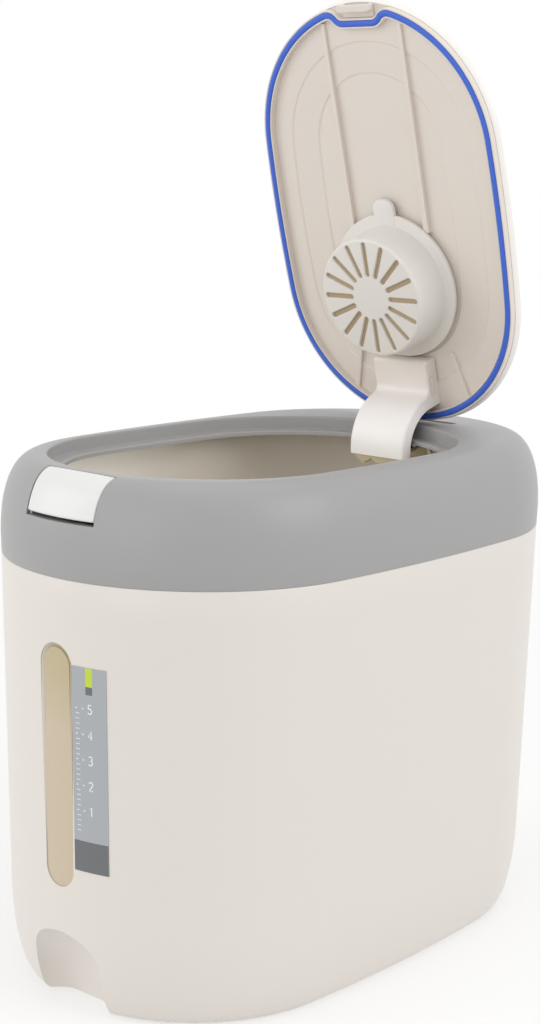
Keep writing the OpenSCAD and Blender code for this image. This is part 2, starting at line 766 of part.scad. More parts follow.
// Close coils drawn as one grooved sleeve about the Z axis
module coil(radius, wire, turns) {
    rotate_extrude() for (i = [0:turns - 1])
        translate([radius, wire + i * wire * 1.85]) circle(wire, $fn = 16);
}
module latch_spring() {
    room = guide_front - slide - 0.5 - slider_half / 12 - pad_back;
    color("#b9bcc0") translate([0, pad_back, push_z]) rotate([-90, 0, 0])
        coil(2.5, latch_wire, floor(room / (latch_wire * 1.85)) - 1);
}

// ---- hinge on the bin ----
bush_radius = pin_radius + pin_clearance + bush_wall;
eye_inner = arm_half + eye_gap;
eye_outer = eye_inner + eye_width;
plate_front = pin_y + lug_radius + bracket_clearance;
clip_width = 0.9;
coil_radius = pin_radius + 0.8 + hinge_wire;
module hinge_bracket() {
    color("#9a9a98") difference() {
        union() {
            for (side = [-1, 1]) across(side > 0 ? eye_inner : -eye_outer,
                                        side > 0 ? eye_outer : -eye_inner) {
                translate([pin_y, pin_z]) circle(lug_radius);
                translate([pin_y, pin_z - lug_radius])
                    square([plate_front + bracket_margin - pin_y,
                            bracket_top - pin_z + lug_radius]);
            }
            translate([-eye_outer - bracket_margin, plate_front, bracket_top - bracket_plate])
                cube([2 * (eye_outer + bracket_margin),
                      bracket_boss_y[1] + bracket_margin - plate_front, bracket_plate]);
            translate([hinge_wire * 2, plate_front, bracket_top - 1])
                cube([8, 3, pin_z + coil_radius - hinge_wire - bracket_top + 1]);
        }
        translate([0, pin_y, pin_z]) rotate([0, 90, 0])
            cylinder(r = pin_radius + pin_clearance, h = far, center = true);
        for (side = [-1, 1], y = bracket_boss_y)
            translate([side * bracket_boss_x, y, bracket_top])
                cylinder(r = screw_radius + 0.2, h = far, center = true);
    }
}
module bracket_screws() {
    color("#c8c8c8") for (side = [-1, 1], y = bracket_boss_y)
        translate([side * bracket_boss_x, y, bracket_top - bracket_plate])
            screw(bracket_screw_length);
}
module hinge_pin() {
    color("#c4c6c8") translate([0, pin_y, pin_z]) rotate([0, 90, 0]) difference() {
        cylinder(r = pin_radius, h = 2 * (eye_outer + 3), center = true);
        for (side = [-1, 1]) translate([0, 0, side * (eye_outer + 0.3 + clip_width / 2)])
            difference() {
                cylinder(r = pin_radius + 1, h = clip_width + 0.1, center = true);
                cylinder(r = pin_radius - 0.5, h = clip_width + 1, center = true);
            }
    }
}
module pin_clips() {
    color("#8a8c90") for (side = [-1, 1])
        translate([side * (eye_outer + 0.3 + clip_width / 2), pin_y, pin_z]) rotate([0, 90, 0])
            difference() {
                cylinder(r = pin_radius + 2, h = clip_width, center = true);
                cylinder(r = pin_radius - 0.45, h = clip_width + 1, center = true);
                translate([0, -pin_radius + 0.9, -clip_width])
                    cube([far, 2 * pin_radius - 1.8, 2 * clip_width]);
            }
}
module hinge_spring() {
    length = hinge_turns * hinge_wire * 1.85;
    color("#8f9296") translate([0, pin_y, pin_z]) {
        translate([-length / 2, 0, 0]) rotate([0, 90, 0])
            coil(coil_radius, hinge_wire, hinge_turns);
        translate([length / 2 - hinge_wire, 0, coil_radius]) rotate([-90, 0, 0])
            cylinder(r = hinge_wire, h = lug_radius + 7, $fn = 16);
        translate([-length / 2 + hinge_wire, 0, -coil_radius]) rotate([90, 0, 0])
            cylinder(r = hinge_wire, h = 18, $fn = 16);
    }
}

// ---- lid ----
crown_run = 60;
skirt_low = panel_face - 0.4;
module lid_place() {
    translate([0, pin_y, pin_z]) rotate([-open_angle, 0, 0]) translate([0, -pin_y, -pin_z])
        children();
}
// In here y is the distance from the lid's middle towards the latch
module on_lid() {
    lid_place() translate([0, mouth_y, 0]) mirror([0, 1, 0]) children();
}
function crown(inset) = [
    for (i = [0:curve_steps])
        [-lid_gap - inset - (crown_run - inset) * (1 - cos(90 * i / curve_steps)),
         deck + (crown_height - inset) * sin(90 * i / curve_steps)]];
module lid_cover() {
    color("#ddd8d0") on_lid() oval_sweep(mouth_oval, concat(
        [[-lid_gap - cover_wall, skirt_low], [-lid_gap - cover_wall + 0.3, skirt_low],
         [-lid_gap, skirt_low + 2.2]],
        crown(0), [[MIDDLE, deck + crown_height], [MIDDLE, deck + crown_height - cover_wall]],
        backwards(crown(cover_wall))));
}

// The seal is an oval that dips round the catch at the front
notch_mid = [notch_half, notch_line + notch_bend];
seal_mid = [0, oval_reach(seal_oval)];
mid_gap = norm(notch_mid - seal_mid);
mid_way = (notch_mid - seal_mid) / mid_gap;
crest_in = seal_oval[2] - notch_bend;
crest_along = (crest_in * crest_in - 4 * notch_bend * notch_bend + mid_gap * mid_gap) / (2 * mid_gap);
crest_aside = sqrt(crest_in * crest_in - crest_along * crest_along);
crest_mid = seal_mid + crest_along * mid_way + crest_aside * [mid_way[1], -mid_way[0]];
crest_end = seal_mid + (crest_mid - seal_mid) * (seal_oval[2] + 8) / crest_in;
module seal_flat(offset) {
    difference() {
        oval_flat(seal_oval, offset);
        difference() {
            union() {
                polygon([crest_mid, crest_end, [-crest_end[0], crest_end[1]],
                         [-crest_mid[0], crest_mid[1]], [-notch_mid[0], notch_mid[1]],
                         [-notch_mid[0], notch_line + offset], [notch_mid[0], notch_line + offset],
                         notch_mid]);
                for (side = [-1, 1]) translate([side * notch_mid[0], notch_mid[1]])
                    circle(notch_bend - offset);
            }
            for (side = [-1, 1]) translate([side * crest_mid[0], crest_mid[1]])
                circle(notch_bend + offset);
        }
    }
}
module seal_ring(half, low, high) {
    translate([0, 0, low]) linear_extrude(high - low) difference() {
        seal_flat(half);
        seal_flat(-half);
    }
}
module lid_gasket() {
    color("#4166cd") on_lid() seal_ring(gasket_width / 2, seal_face, groove_floor);
}

step_bow = 1.3;
function step_oval(end, side) =
    [mouth_oval[0] - end, mouth_oval[1] - side, mouth_oval[1] - side - step_bow];
step_outer = step_oval(step_end, step_side);
step_inner = step_oval(step_end + step_end_spacing, step_side + step_side_spacing);
rib_start = flange_radius - holder_back - 11.6;
arm_screw_places = [for (x = [-arm_screw_half, arm_screw_half], back = [0, arm_screw_spacing])
    [x, pin_reach - arm_screw_reach - back]];
module slanted_rib(x0, y0, x1, y1) {
    translate([x0, y0, panel_face - rib_height]) rotate([0, 0, atan2(y1 - y0, x1 - x0)])
        translate([0, -rib_width / 2, 0])
            cube([norm([x1 - x0, y1 - y0]), rib_width, rib_height + panel_step + 0.4]);
}
module lid_panel() {
    color("#ddd6cc") on_lid() difference() {
        union() {
            difference() {
                union() {
                    oval_block(mouth_oval, panel_edge, panel_face, panel_back);
                    oval_block(step_outer, 1.2, panel_face + panel_step, panel_back + panel_step);
                    oval_block(step_inner, 1.2, panel_face + 2 * panel_step,
                               panel_back + 2 * panel_step);
                }
                oval_block(step_outer, 0, panel_face - 1, panel_face + panel_step);
                oval_block(step_inner, 0, panel_face - 1, panel_face + 2 * panel_step);
            }
            intersection() {
                seal_ring(groove_half + groove_wall, groove_top, panel_face + 0.4);
                oval_block(mouth_oval, panel_edge, groove_top - 1, panel_back);
            }
            for (side = [-1, 1]) {
                translate([side * rib_place - rib_width / 2, rib_start, panel_face - rib_height])
                    cube([rib_width, notch_line - 4 - rib_start,
                          rib_height + 2 * panel_step + 0.4]);
                slanted_rib(side * (rib_place + 7.5), 66.6 - pin_reach,
                            side * (rib_place + 15.5), 30.6 - pin_reach);
                slanted_rib(side * (rib_place - 6.5), 38.6 - pin_reach,
                            side * (rib_place + 5.5), 42.6 - pin_reach);
            }
            for (place = arm_screw_places) translate([place[0], -place[1], panel_face + 0.8])
                cylinder(r = boss_radius, h = 3.4);
        }
        seal_ring(groove_half, groove_top - 1, groove_floor);
        for (place = arm_screw_places) translate([place[0], -place[1], panel_face - 2])
            cylinder(r = screw_radius, h = 5.6);
    }
}
module lid_catch() {
    catch_front = mouth_y - bar_outer;
    catch_back = mouth_y - bar_inner;
    root = notch_line + groove_half + groove_wall + 0.15;
    color("#d6cfc4") on_lid() {
        translate([-catch_half, root, panel_face - 1.4])
            cube([2 * catch_half, catch_front - 0.6 - root, 1.4]);
        for (side = [-1, 1]) translate([side * (catch_half - 1) - 1, catch_back, bar_low])
            cube([2, catch_front - catch_back, panel_face - 0.9 - bar_low]);
        translate([-catch_half, catch_back, bar_low])
            cube([2 * catch_half, catch_front - catch_back, catch_bar]);
    }
}

// ---- goose-neck arm, drawn as flat (y, z) shapes about the pin ----
foot_face = panel_face - foot_height - pin_z;
foot_end = -(arm_inner + foot_length);
arm_end = -1.6;
foot_plate = 2.4;
neck_fillet = 7;
fillet_z = foot_face - neck_fillet;
fillet_y = -sqrt(pow(arm_radius + neck_fillet, 2) - fillet_z * fillet_z);
module arm_outline(inset) {
    fillet_in = (arm_radius - inset) / (arm_radius + neck_fillet);
    intersection() {
        circle(arm_radius - inset, $fn = end_fn);
        translate([-far, -far]) square([far, far + foot_face + inset + 1]);
    }
    translate([foot_end + inset, foot_face + inset])
        square([-foot_end - inset, panel_face - pin_z - foot_face - inset]);
    difference() {
        polygon([[fillet_y, foot_face + inset + 0.5], [fillet_y, fillet_z],
                 [fillet_y * fillet_in, fillet_z * fillet_in], [0, fillet_z * fillet_in],
                 [0, foot_face + inset + 0.5]]);
        translate([fillet_y, fillet_z]) circle(neck_fillet + inset + 0.02);
    }
}
module arm_hollow(radius) {
    circle(radius, $fn = end_fn);
    translate([-radius, 0]) square([radius + 20, 40]);
}
module arm_before(end) {
    translate([-far, -far]) square([far + end, 2 * far]);
}
module at_pin() {
    lid_place() translate([0, pin_y, pin_z]) children();
}
module arm_cover() {
    corner = 6;
    color("#dcd5ca") at_pin() difference() {
        across(-arm_half, arm_half) intersection() {
            difference() {
                arm_outline(0);
                arm_hollow(arm_inner);
            }
            arm_before(arm_end);
        }
        across(arm_wall - arm_half, arm_half - arm_wall) arm_outline(arm_wall);
        for (side = [-1, 1]) translate([side * arm_half, arm_end, -arm_radius - 1])
            linear_extrude(arm_depth + 2) difference() {
                square(2 * corner, center = true);
                translate([-side * corner, -corner]) circle(corner);
            }
        translate([arm_half - arm_wall - 1, -arm_inner - 7.6, -13]) cube([far, 5, 10]);
    }
}
module hinge_arm() {
    half = arm_half - arm_wall - frame_gap;
    inset = arm_wall + frame_gap;
    color("#c9c2b6") difference() {
        at_pin() {
            translate([-half, foot_end + inset, panel_face - pin_z - foot_plate])
                cube([2 * half, -foot_end - inset - arm_inner, foot_plate]);
            across(-half, half) intersection() {
                difference() {
                    union() {
                        circle(arm_inner + 1.8, $fn = end_fn);
                        translate([-arm_inner - 1.8, 0]) square([10, panel_face - pin_z]);
                    }
                    arm_hollow(arm_inner);
                }
                arm_before(0);
            }
            for (x = [-7, 0, 7]) across(x - 0.9, x + 0.9) {
                intersection() {
                    difference() {
                        arm_outline(inset);
                        arm_hollow(arm_inner);
                    }
                    arm_before(0.01);
                    translate([-far + foot_end + 13, -far]) square([far, 2 * far]);
                }
                translate([0, -arm_inner - 2.6]) circle(2.6);
            }
            for (side = [-1, 1]) across(side > 0 ? half - lug_width : -half,
                                        side > 0 ? half : -half + lug_width) {
                intersection() {
                    difference() {
                        arm_outline(inset);
                        arm_hollow(arm_inner);
                    }
                    arm_before(0.01);
                    translate([-far + foot_end + 21, -far]) square([far, 2 * far]);
                }
                difference() {
                    union() {
                        circle(lug_radius);
                        translate([-4.2, -arm_inner - 3]) square([8.4, arm_inner + 3]);
                    }
                    circle(bush_radius + 0.02);
                }
            }
        }
        on_lid() for (place = arm_screw_places)
            translate([place[0], -place[1], panel_face - 5])
                cylinder(r = screw_radius + 0.2, h = 8);
        on_lid() for (place = arm_screw_places)
            translate([place[0], -place[1], panel_face - foot_plate - head_height - 0.4])
                cylinder(r = head_radius + 0.3, h = head_height + 0.4);
    }
}
module arm_screws() {
    color("#c8c8c8") on_lid() for (place = arm_screw_places)
        translate([place[0], -place[1], panel_face - foot_plate]) screw(5.6);
}
module hinge_bushes() {
    half = arm_half - arm_wall - frame_gap;
    color("#e8e8e4") at_pin() for (side = [-1, 1]) rotate([0, side * 90, 0])
        translate([0, 0, half - lug_width]) difference() {
            union() {
                cylinder(r = bush_radius, h = lug_width);
                translate([0, 0, lug_width]) cylinder(r = lug_radius - 0.4, h = eye_gap);
            }
            translate([0, 0, -1]) cylinder(r = pin_radius + pin_clearance, h = far);
        }
}

// ---- freshness holder, drawn about its own middle with the lid closed ----
holder_floor = panel_face + 2 * panel_step;
flange_face = panel_face - flange_rise;
flange_back = flange_face + 2;
cap_face = seal_face - cap_height;
cap_foot = cap_radius + cap_flare;
bore = cap_foot - cap_wall - 1;
module at_holder() {
    on_lid() translate([0, -holder_back, 0]) children();
}
module holder_base() {
    color("#d8d1c6") at_holder() rotate_extrude($fn = 96) polygon([
        [bore - 2.2, holder_floor], [flange_radius - 2, holder_floor],
        [flange_radius - 2, flange_back + 0.3], [bore - 0.4, flange_back + 0.3],
        [bore - 0.4, flange_face - 1.6], [bore + 0.4, flange_face - 2.2],
        [bore + 0.4, flange_face - 3.4], [bore - 0.6, flange_face - 4.4],
        [bore - 2.2, flange_face - 4.4]]);
}
module slot_flat() {
    translate([slot_inner, -slot_width / 2]) square([slot_outer - slot_inner, slot_width]);
    for (r = [slot_inner, slot_outer]) translate([r, 0]) circle(slot_width / 2, $fn = 24);
}
module holder_cap() {
    color("#e2dcd2") at_holder() difference() {
        union() {
            rotate_extrude($fn = 96) polygon([
                [0, cap_face], [cap_radius - 1.2, cap_face], [cap_radius, cap_face + 1.2],
                [cap_foot, flange_face], [flange_radius, flange_face],
                [flange_radius, flange_back], [bore, flange_back], [bore, flange_face],
                [cap_foot - cap_wall, flange_face - 0.4],
                [cap_radius - cap_wall, cap_face + cap_wall], [0, cap_face + cap_wall]]);
            difference() {
                translate([0, 0, panel_face - tab_height + 0.9]) linear_extrude(tab_height - 0.9) {
                    translate([-tab_width / 2, cap_foot - 1])
                        square([tab_width, tab_reach - 4 - cap_foot + 1]);
                    for (side = [-1, 1]) translate([side * (tab_width / 2 - 4), tab_reach - 4])
                        circle(4);
                    translate([-tab_width / 2 + 4, tab_reach - 5]) square([tab_width - 8, 5]);
                }
                translate([0, 0, flange_back - 0.1]) cylinder(r = flange_radius + 0.5, h = 20);
                cylinder(r = cap_foot - 1, h = far);
            }
        }
        for (i = [0:slot_count - 1]) rotate([0, 0, 90 + i * 360 / slot_count])
            translate([0, 0, cap_face - 1]) linear_extrude(cap_wall + 2) slot_flat();
    }
}
module freshness_pack() {
    color("#f2efe8") at_holder() difference() {
        translate([0, 0, cap_face + cap_wall + 1.2]) cylinder(
            r = pack_radius, h = holder_floor - 0.1 - cap_face - cap_wall - 1.2, $fn = 72);
        translate([0, 0, cap_face + cap_wall]) cylinder(r = pack_radius - 6, h = 2, $fn = 72);
    }
}

outer_body();
inner_bin();
window_pane();
level_label();
collar();
latch_housing();
latch_screws();
latch_spring();
latch_button();
latch_hook();
hinge_bracket();
bracket_screws();
hinge_pin();
pin_clips();
hinge_spring();
lid_cover();
lid_panel();
lid_gasket();
lid_catch();
hinge_arm();
arm_cover();
arm_screws();
hinge_bushes();
holder_base();
holder_cap();
freshness_pack();
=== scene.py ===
"""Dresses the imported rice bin: smooth shells, seals and springs over the CAD frame, finishes, light, camera.

Lengths in the shape functions are millimetres, as in the part's source. They are turned into metres once,
where a mesh is made, in add_piece() and solid().
"""
import json
import math
import bpy
import numpy as np
from mathutils import Matrix, Vector


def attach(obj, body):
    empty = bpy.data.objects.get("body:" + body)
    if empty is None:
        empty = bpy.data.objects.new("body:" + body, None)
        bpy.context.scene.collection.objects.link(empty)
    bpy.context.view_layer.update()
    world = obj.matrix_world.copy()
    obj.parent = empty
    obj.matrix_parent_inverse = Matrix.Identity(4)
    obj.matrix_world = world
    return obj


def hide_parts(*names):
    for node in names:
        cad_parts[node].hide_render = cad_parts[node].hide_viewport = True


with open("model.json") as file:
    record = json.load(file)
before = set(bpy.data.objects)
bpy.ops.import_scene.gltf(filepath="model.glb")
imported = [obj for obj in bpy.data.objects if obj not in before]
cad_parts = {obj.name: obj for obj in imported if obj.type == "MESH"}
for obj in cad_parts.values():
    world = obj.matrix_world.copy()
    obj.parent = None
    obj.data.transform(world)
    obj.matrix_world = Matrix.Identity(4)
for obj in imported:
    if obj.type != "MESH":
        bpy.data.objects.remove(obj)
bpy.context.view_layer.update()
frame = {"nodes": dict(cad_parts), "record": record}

# ---- sizes, as in the part's source ----
BIN_OVAL = (175.0, 109.2, 106.6)          # half length, half width, end radius
MOUTH_OVAL = (128.3, 86.8, 85.7)
STEP_OUTER = (104.0, 66.3, 65.0)
STEP_INNER = (86.0, 46.5, 45.0)
FRONT = -175.0
SEAM = 233.5
DECK = 285.5
MOUTH_Y = -20.9
LEDGE = 277.5
PIN = (117.7, 271.7)                       # y, z
OPEN = math.radians(74.4)
SEAL_FACE = 277.8
PANEL_FACE = SEAL_FACE + 5.0
BODY_DRAFT, ROUND_HIGH, ROUND_DEEP, BODY_WALL = 5.2, 48.5, 11.1, 2.6
BODY_INSIDE_FLOOR = 4.5
BAND, SHOULDER, POWER, BULGE = 10.4, 19.0, 2.25, 0.3
COLLAR_WALL, LIP_WALL, LIP_SET, LIP_DEEP = 2.5, 1.0, 2.8, 5.5
LEDGE_WIDE, LEDGE_UNDER = 8.0, 275.0
LINER_OUT, LINER_IN, LINER_FLOOR, LINER_RIM = 4.6, 6.6, 7.0, 272.0
LID_GAP, COVER_WALL, CROWN, CROWN_WIDE = 0.63, 1.7, 4.5, 60.0
WINDOW_HALF, WINDOW_STRAIGHT, WINDOW_MIDDLE = 10.2, 109.4, 133.4
LABEL_X, LABEL_Z = (11.8, 32.2), (81.0, 190.0)
LABEL_FACE, PRINT_THICK = 0.41, 0.02
LABEL_FOOT_TOP, LABEL_TAB_X, LABEL_TAB_LOW, LABEL_SQUARE_LOW = 97.6, (20.4, 24.4), 180.2, 176.0
BUTTON_HALF, BUTTON_LOW, BUTTON_REAR, BUTTON_WALL = 24.3, 264.4, -155.0, 2.2
BUTTON_HOLE_HALF, BUTTON_HOLE_LOW, BUTTON_HOLE_REAR = 24.8, 262.2, -154.5
PIVOT = (-156.5, 276.5)                    # y, z of the button's trunnions
PUSH_Z = 259.5


# ---- meshes ----
def new_object(name, data):
    """An object of a mesh, a lamp or a camera, put in the scene."""
    thing = bpy.data.objects.new(name, data)
    bpy.context.scene.collection.objects.link(thing)
    return thing


def add_piece(name, verts, faces, body, slot, crease, material=None):
    """A piece of millimetre points, smooth but sharp past the crease angle, tied to its body and slot."""
    mesh = bpy.data.meshes.new(name)
    mesh.from_pydata((np.asarray(verts) * 0.001).tolist(), [], faces)
    mesh.validate()
    mesh.polygons.foreach_set("use_smooth", np.ones(len(mesh.polygons), bool))
    mesh.set_sharp_from_angle(angle=math.radians(crease))
    piece = new_object(name, mesh)
    mesh.materials.append(material or finish[slot])
    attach(piece, body)
    return piece


def grid_faces(rows, columns, loop_rows=False, loop_columns=True, start=0):
    """Quads of a rows by columns grid of points, as lists of four; either way round can be a closed loop."""
    i = np.arange(rows if loop_rows else rows - 1)[:, None]
    j = np.arange(columns if loop_columns else columns - 1)[None, :]
    a = i * columns + j
    b = i * columns + (j + 1) % columns
    c = ((i + 1) % rows) * columns + (j + 1) % columns
    d = ((i + 1) % rows) * columns + j
    return (np.stack([a, b, c, d], -1).reshape(-1, 4) + start).tolist()


def oval_frame(oval, side=26, end=84):
    """Where each point of an oval turns: the arc's middle, its radius and its direction, counter-clockwise.

    An oval is four arcs: end arcs of radius e about (0, +-(a - e)), and side arcs of radius
    R = (b^2 + (a - e)^2 - e^2) / (2 (b - e)) about (-+(R - b), 0), tangent where they meet.
    """
    a, b, e = oval
    reach = a - e
    big = (b * b + reach * reach - e * e) / (2 * (b - e))
    off = big - b
    turn = math.atan2(reach, off)
    arcs = [((-off, 0), big, -turn, turn, side), ((0, reach), e, turn, math.pi - turn, end),
            ((off, 0), big, math.pi - turn, math.pi + turn, side),
            ((0, -reach), e, math.pi + turn, 2 * math.pi - turn, end)]
    angle = np.concatenate([np.linspace(s, t, n, endpoint=False) for _, _, s, t, n in arcs])
    middle = np.concatenate([np.tile(m, (n, 1)) for m, _, _, _, n in arcs])
    radius = np.concatenate([np.full(n, r) for _, r, _, _, n in arcs])
    return middle, radius, np.stack([np.cos(angle), np.sin(angle)], 1)


def oval_rings(oval, rings, shift=0.0):
    """Rings of points: each (offset, height) moves the oval out along its own direction, then up."""
    middle, radius, way = oval_frame(oval)
    rings = np.asarray(rings, float)
    flat = middle[None] + (radius[None] + rings[:, :1])[:, :, None] * way[None]
    up = np.broadcast_to(rings[:, 1][:, None, None], flat.shape[:2] + (1,))
    points = np.concatenate([flat, up], 2)
    points[..., 1] += shift
    return points


def sweep(rings):
    """Points and faces of stacked rings, closed into a solid by a flat face at each end."""
    rows, columns = rings.shape[:2]
    faces = grid_faces(rows, columns)
    faces.append(list(range(columns))[::-1])
    faces.append(list(range((rows - 1) * columns, rows * columns)))
    return rings.reshape(-1, 3), faces


def tube(rings):
    """Points and faces of rings that close on themselves, as a profile carried once round an oval."""
    rows, columns = rings.shape[:2]
    return rings.reshape(-1, 3), grid_faces(rows, columns, loop_rows=True)


def solid(points_faces):
    """A loose mesh object used to cut or join others, later thrown away."""
    mesh = bpy.data.meshes.new("cutter")
    mesh.from_pydata((np.asarray(points_faces[0]) * 0.001).tolist(), [], points_faces[1])
    return new_object("cutter", mesh)


def combine(thing, others, how):
    """Cuts or joins closed shapes for good and throws the others away; points and faces are made solid."""
    thing, *others = [solid(shape) if isinstance(shape, tuple) else shape for shape in (thing, *others)]
    for other in others:
        step = thing.modifiers.new(how, "BOOLEAN")
        step.operation = how
        step.solver = "EXACT"
        step.object = other
    bpy.context.view_layer.update()
    done = thing.evaluated_get(bpy.context.evaluated_depsgraph_get())
    mesh = bpy.data.meshes.new_from_object(done)
    thing.modifiers.clear()
    old = thing.data
    thing.data = mesh
    bpy.data.meshes.remove(old)
    for other in others:
        spare = other.data
        bpy.data.objects.remove(other)
        bpy.data.meshes.remove(spare)
    return thing


def mesh_of(thing):
    """Takes a scratch object apart into millimetre points and faces, and throws it away."""
    mesh = thing.data
    points = np.empty(len(mesh.vertices) * 3)
    mesh.vertices.foreach_get("co", points)
    faces = [tuple(p.vertices) for p in mesh.polygons]
    bpy.data.objects.remove(thing)
    bpy.data.meshes.remove(mesh)
    return points.reshape(-1, 3) * 1000.0, faces


def block(low, high):
    """The eight corners and six faces of a box between two corners."""
    x, y, z = (np.array([low[k], high[k]]) for k in range(3))
    points = [(x[i], y[j], z[k]) for k in (0, 1) for j in (0, 1) for i in (0, 1)]
    return points, [(0, 2, 3, 1), (4, 5, 7, 6), (0, 1, 5, 4), (1, 3, 7, 5), (3, 2, 6, 7), (2, 0, 4, 6)]


def across(outline, x0, x1):
    """A flat (y, z) outline, counter-clockwise seen from +X, carried from x0 to x1."""
    outline = np.asarray(outline, float)
    return sweep(np.stack([np.column_stack([np.full(len(outline), x), outline]) for x in (x0, x1)]))


def round_bar(x0, x1, y, z, radius, count=40):
    """A cylinder that lies along X."""
    t = np.linspace(0, 2 * math.pi, count, endpoint=False)
    return across(np.stack([y + radius * np.cos(t), z + radius * np.sin(t)], 1), x0, x1)


def opened(points):
    """Turns points of the closed lid about the hinge pin to where the lid stands open."""
    points = np.array(points, float)
    y, z = points[..., 1] - PIN[0], points[..., 2] - PIN[1]
    points[..., 1] = PIN[0] + y * math.cos(OPEN) + z * math.sin(OPEN)
    points[..., 2] = PIN[1] - y * math.sin(OPEN) + z * math.cos(OPEN)
    return points


def opened_mesh(thing):
    """Takes a scratch object of the closed lid apart, as mesh_of() does, and turns its points open."""
    points, faces = mesh_of(thing)
    return opened(points), faces


# ---- materials ----
def linear(colour):
    """A written #rrggbb colour as linear light: ((c + 0.055) / 1.055)^2.4 above the toe, c / 12.92 in it."""
    c = np.array([int(colour[i:i + 2], 16) / 255 for i in (1, 3, 5)])
    return (*np.where(c > 0.04045, ((c + 0.055) / 1.055) ** 2.4, c / 12.92), 1.0)


def plastic(name, colour, roughness, grain=0.0, grain_size=900.0, cloud=0.0, coat=0.0):
    """A moulded plastic: one colour, a faint cloudiness, and a fine bump from noise on Object coordinates."""
    material = bpy.data.materials.new(name)
    material.use_nodes = True
    nodes, links = material.node_tree.nodes, material.node_tree.links
    shader = nodes["Principled BSDF"]
    shader.inputs["Base Color"].default_value = linear(colour)
    shader.inputs["Roughness"].default_value = roughness
    shader.inputs["IOR"].default_value = 1.46
    shader.inputs["Coat Weight"].default_value = coat
    shader.inputs["Coat Roughness"].default_value = 0.12
    place = nodes.new("ShaderNodeTexCoord")

    def noise(scale, detail):
        """Adds a noise texture on Object coordinates and returns its output."""
        texture = nodes.new("ShaderNodeTexNoise")
        texture.inputs["Scale"].default_value = scale
        texture.inputs["Detail"].default_value = detail
        links.new(place.outputs["Object"], texture.inputs["Vector"])
        return texture.outputs["Fac"]

    if cloud:
        ramp = nodes.new("ShaderNodeMapRange")
        ramp.inputs["To Min"].default_value = roughness - cloud
        ramp.inputs["To Max"].default_value = roughness + cloud
        links.new(noise(14.0, 3.0), ramp.inputs["Value"])
        links.new(ramp.outputs["Result"], shader.inputs["Roughness"])
    if grain:
        bump = nodes.new("ShaderNodeBump")
        bump.inputs["Strength"].default_value = grain
        bump.inputs["Distance"].default_value = 0.0002
        links.new(noise(grain_size, 2.0), bump.inputs["Height"])
        links.new(bump.outputs["Normal"], shader.inputs["Normal"])
    return material


def metal(name, colour, roughness):
    """A plated steel: full metal with its colour and roughness."""
    material = bpy.data.materials.new(name)
    material.use_nodes = True
    shader = material.node_tree.nodes["Principled BSDF"]
    shader.inputs["Base Color"].default_value = linear(colour)
    shader.inputs["Metallic"].default_value = 1.0
    shader.inputs["Roughness"].default_value = roughness
    return material


def along(material, axis, low, high, socket, near, far):
    """Sets a socket by a ramp between two values, along one Object coordinate from low to high metres."""
    nodes, links = material.node_tree.nodes, material.node_tree.links
    place = nodes.new("ShaderNodeTexCoord")
    apart = nodes.new("ShaderNodeSeparateXYZ")
    links.new(place.outputs["Object"], apart.inputs[0])
    ramp = nodes.new("ShaderNodeMapRange")
    ramp.interpolation_type = "SMOOTHSTEP"
    ramp.inputs["From Min"].default_value = low
    ramp.inputs["From Max"].default_value = high
    links.new(apart.outputs[axis], ramp.inputs["Value"])
    shader = nodes["Principled BSDF"]
    if isinstance(near, str):
        blend = nodes.new("ShaderNodeMix")
        blend.data_type = "RGBA"
        links.new(ramp.outputs["Result"], blend.inputs[0])
        blend.inputs[6].default_value = linear(near)
        blend.inputs[7].default_value = linear(far)
        links.new(blend.outputs[2], shader.inputs[socket])
    else:
        ramp.inputs["To Min"].default_value = near
        ramp.inputs["To Max"].default_value = far
        links.new(ramp.outputs["Result"], shader.inputs[socket])


finish = {
    "body_plastic": plastic("satin_white", "#e1dbd4", 0.36, 0.10, 700.0, 0.03),
    "collar_plastic": plastic("satin_grey", "#a2a1a1", 0.40, 0.12, 700.0, 0.03),
    # The smoky plastic's pale colour is its own tan made much lighter, partly as painted light for what comes
    # through its thin walls.
    "smoky_plastic": plastic("smoky_brown", "#e9e3d8", 0.16, 0.05, 500.0, 0.05, 1.0),
    "window_plastic": plastic("tan_pane", "#c4b493", 0.12, 0.0, 700.0, 0.02, 0.4),
    "label_film": plastic("label_grey", "#a9adb1", 0.45),
    "grey_plastic": plastic("plain_grey", "#9a9a98", 0.5, 0.1),
    "button_plastic": plastic("button_white", "#e5e5e3", 0.30, 0.05, 700.0, 0.02),
    "lid_plastic": plastic("lid_cream", "#e3dad1", 0.38, 0.10, 700.0, 0.03),
    "holder_plastic": plastic("holder_white", "#e6e2dc", 0.36, 0.08, 700.0, 0.03),
    "bush_plastic": plastic("bush_white", "#e8e8e4", 0.5),
    "blue_rubber": plastic("blue_seal", "#3f68d2", 0.5, 0.05),
    # The pouch is its own tan, deepened as painted shade so that the slots over it read darker.
    "pack_fabric": plastic("pouch_tan", "#b8a588", 0.9, 0.6, 1500.0),
    "steel": metal("plated_steel", "#c4c6c8", 0.3),
    "spring_steel": metal("spring_steel", "#8f9296", 0.35),
}
# Painted light: the arm's white is lighter than the lid's. This is partly its own whiter plastic and partly
# light painted in against the shade it takes between the bin and the lid.
arm_white = plastic("arm_white", "#faf6f1", 0.34, 0.08, 700.0, 0.03)
cover_white = plastic("cover_white", "#f4f1ec", 0.38, 0.10, 700.0, 0.03)
# Painted shade: the frame's lobed end plate is given a darker tan than the arm, for the shade it sits in under
# the arm.
tail_shade_tan = plastic("tail_shade_tan", "#cfc3a4", 0.45, 0.08)
# The arm is whiter low down as painted light, and the pane duller at its top. The smoky walls are given
# painted
# light: a faint glow of their own toward the window, for what comes in through it.
along(arm_white, "Z", 0.272, 0.325, "Base Color", "#fdfbf9", "#eee6df")
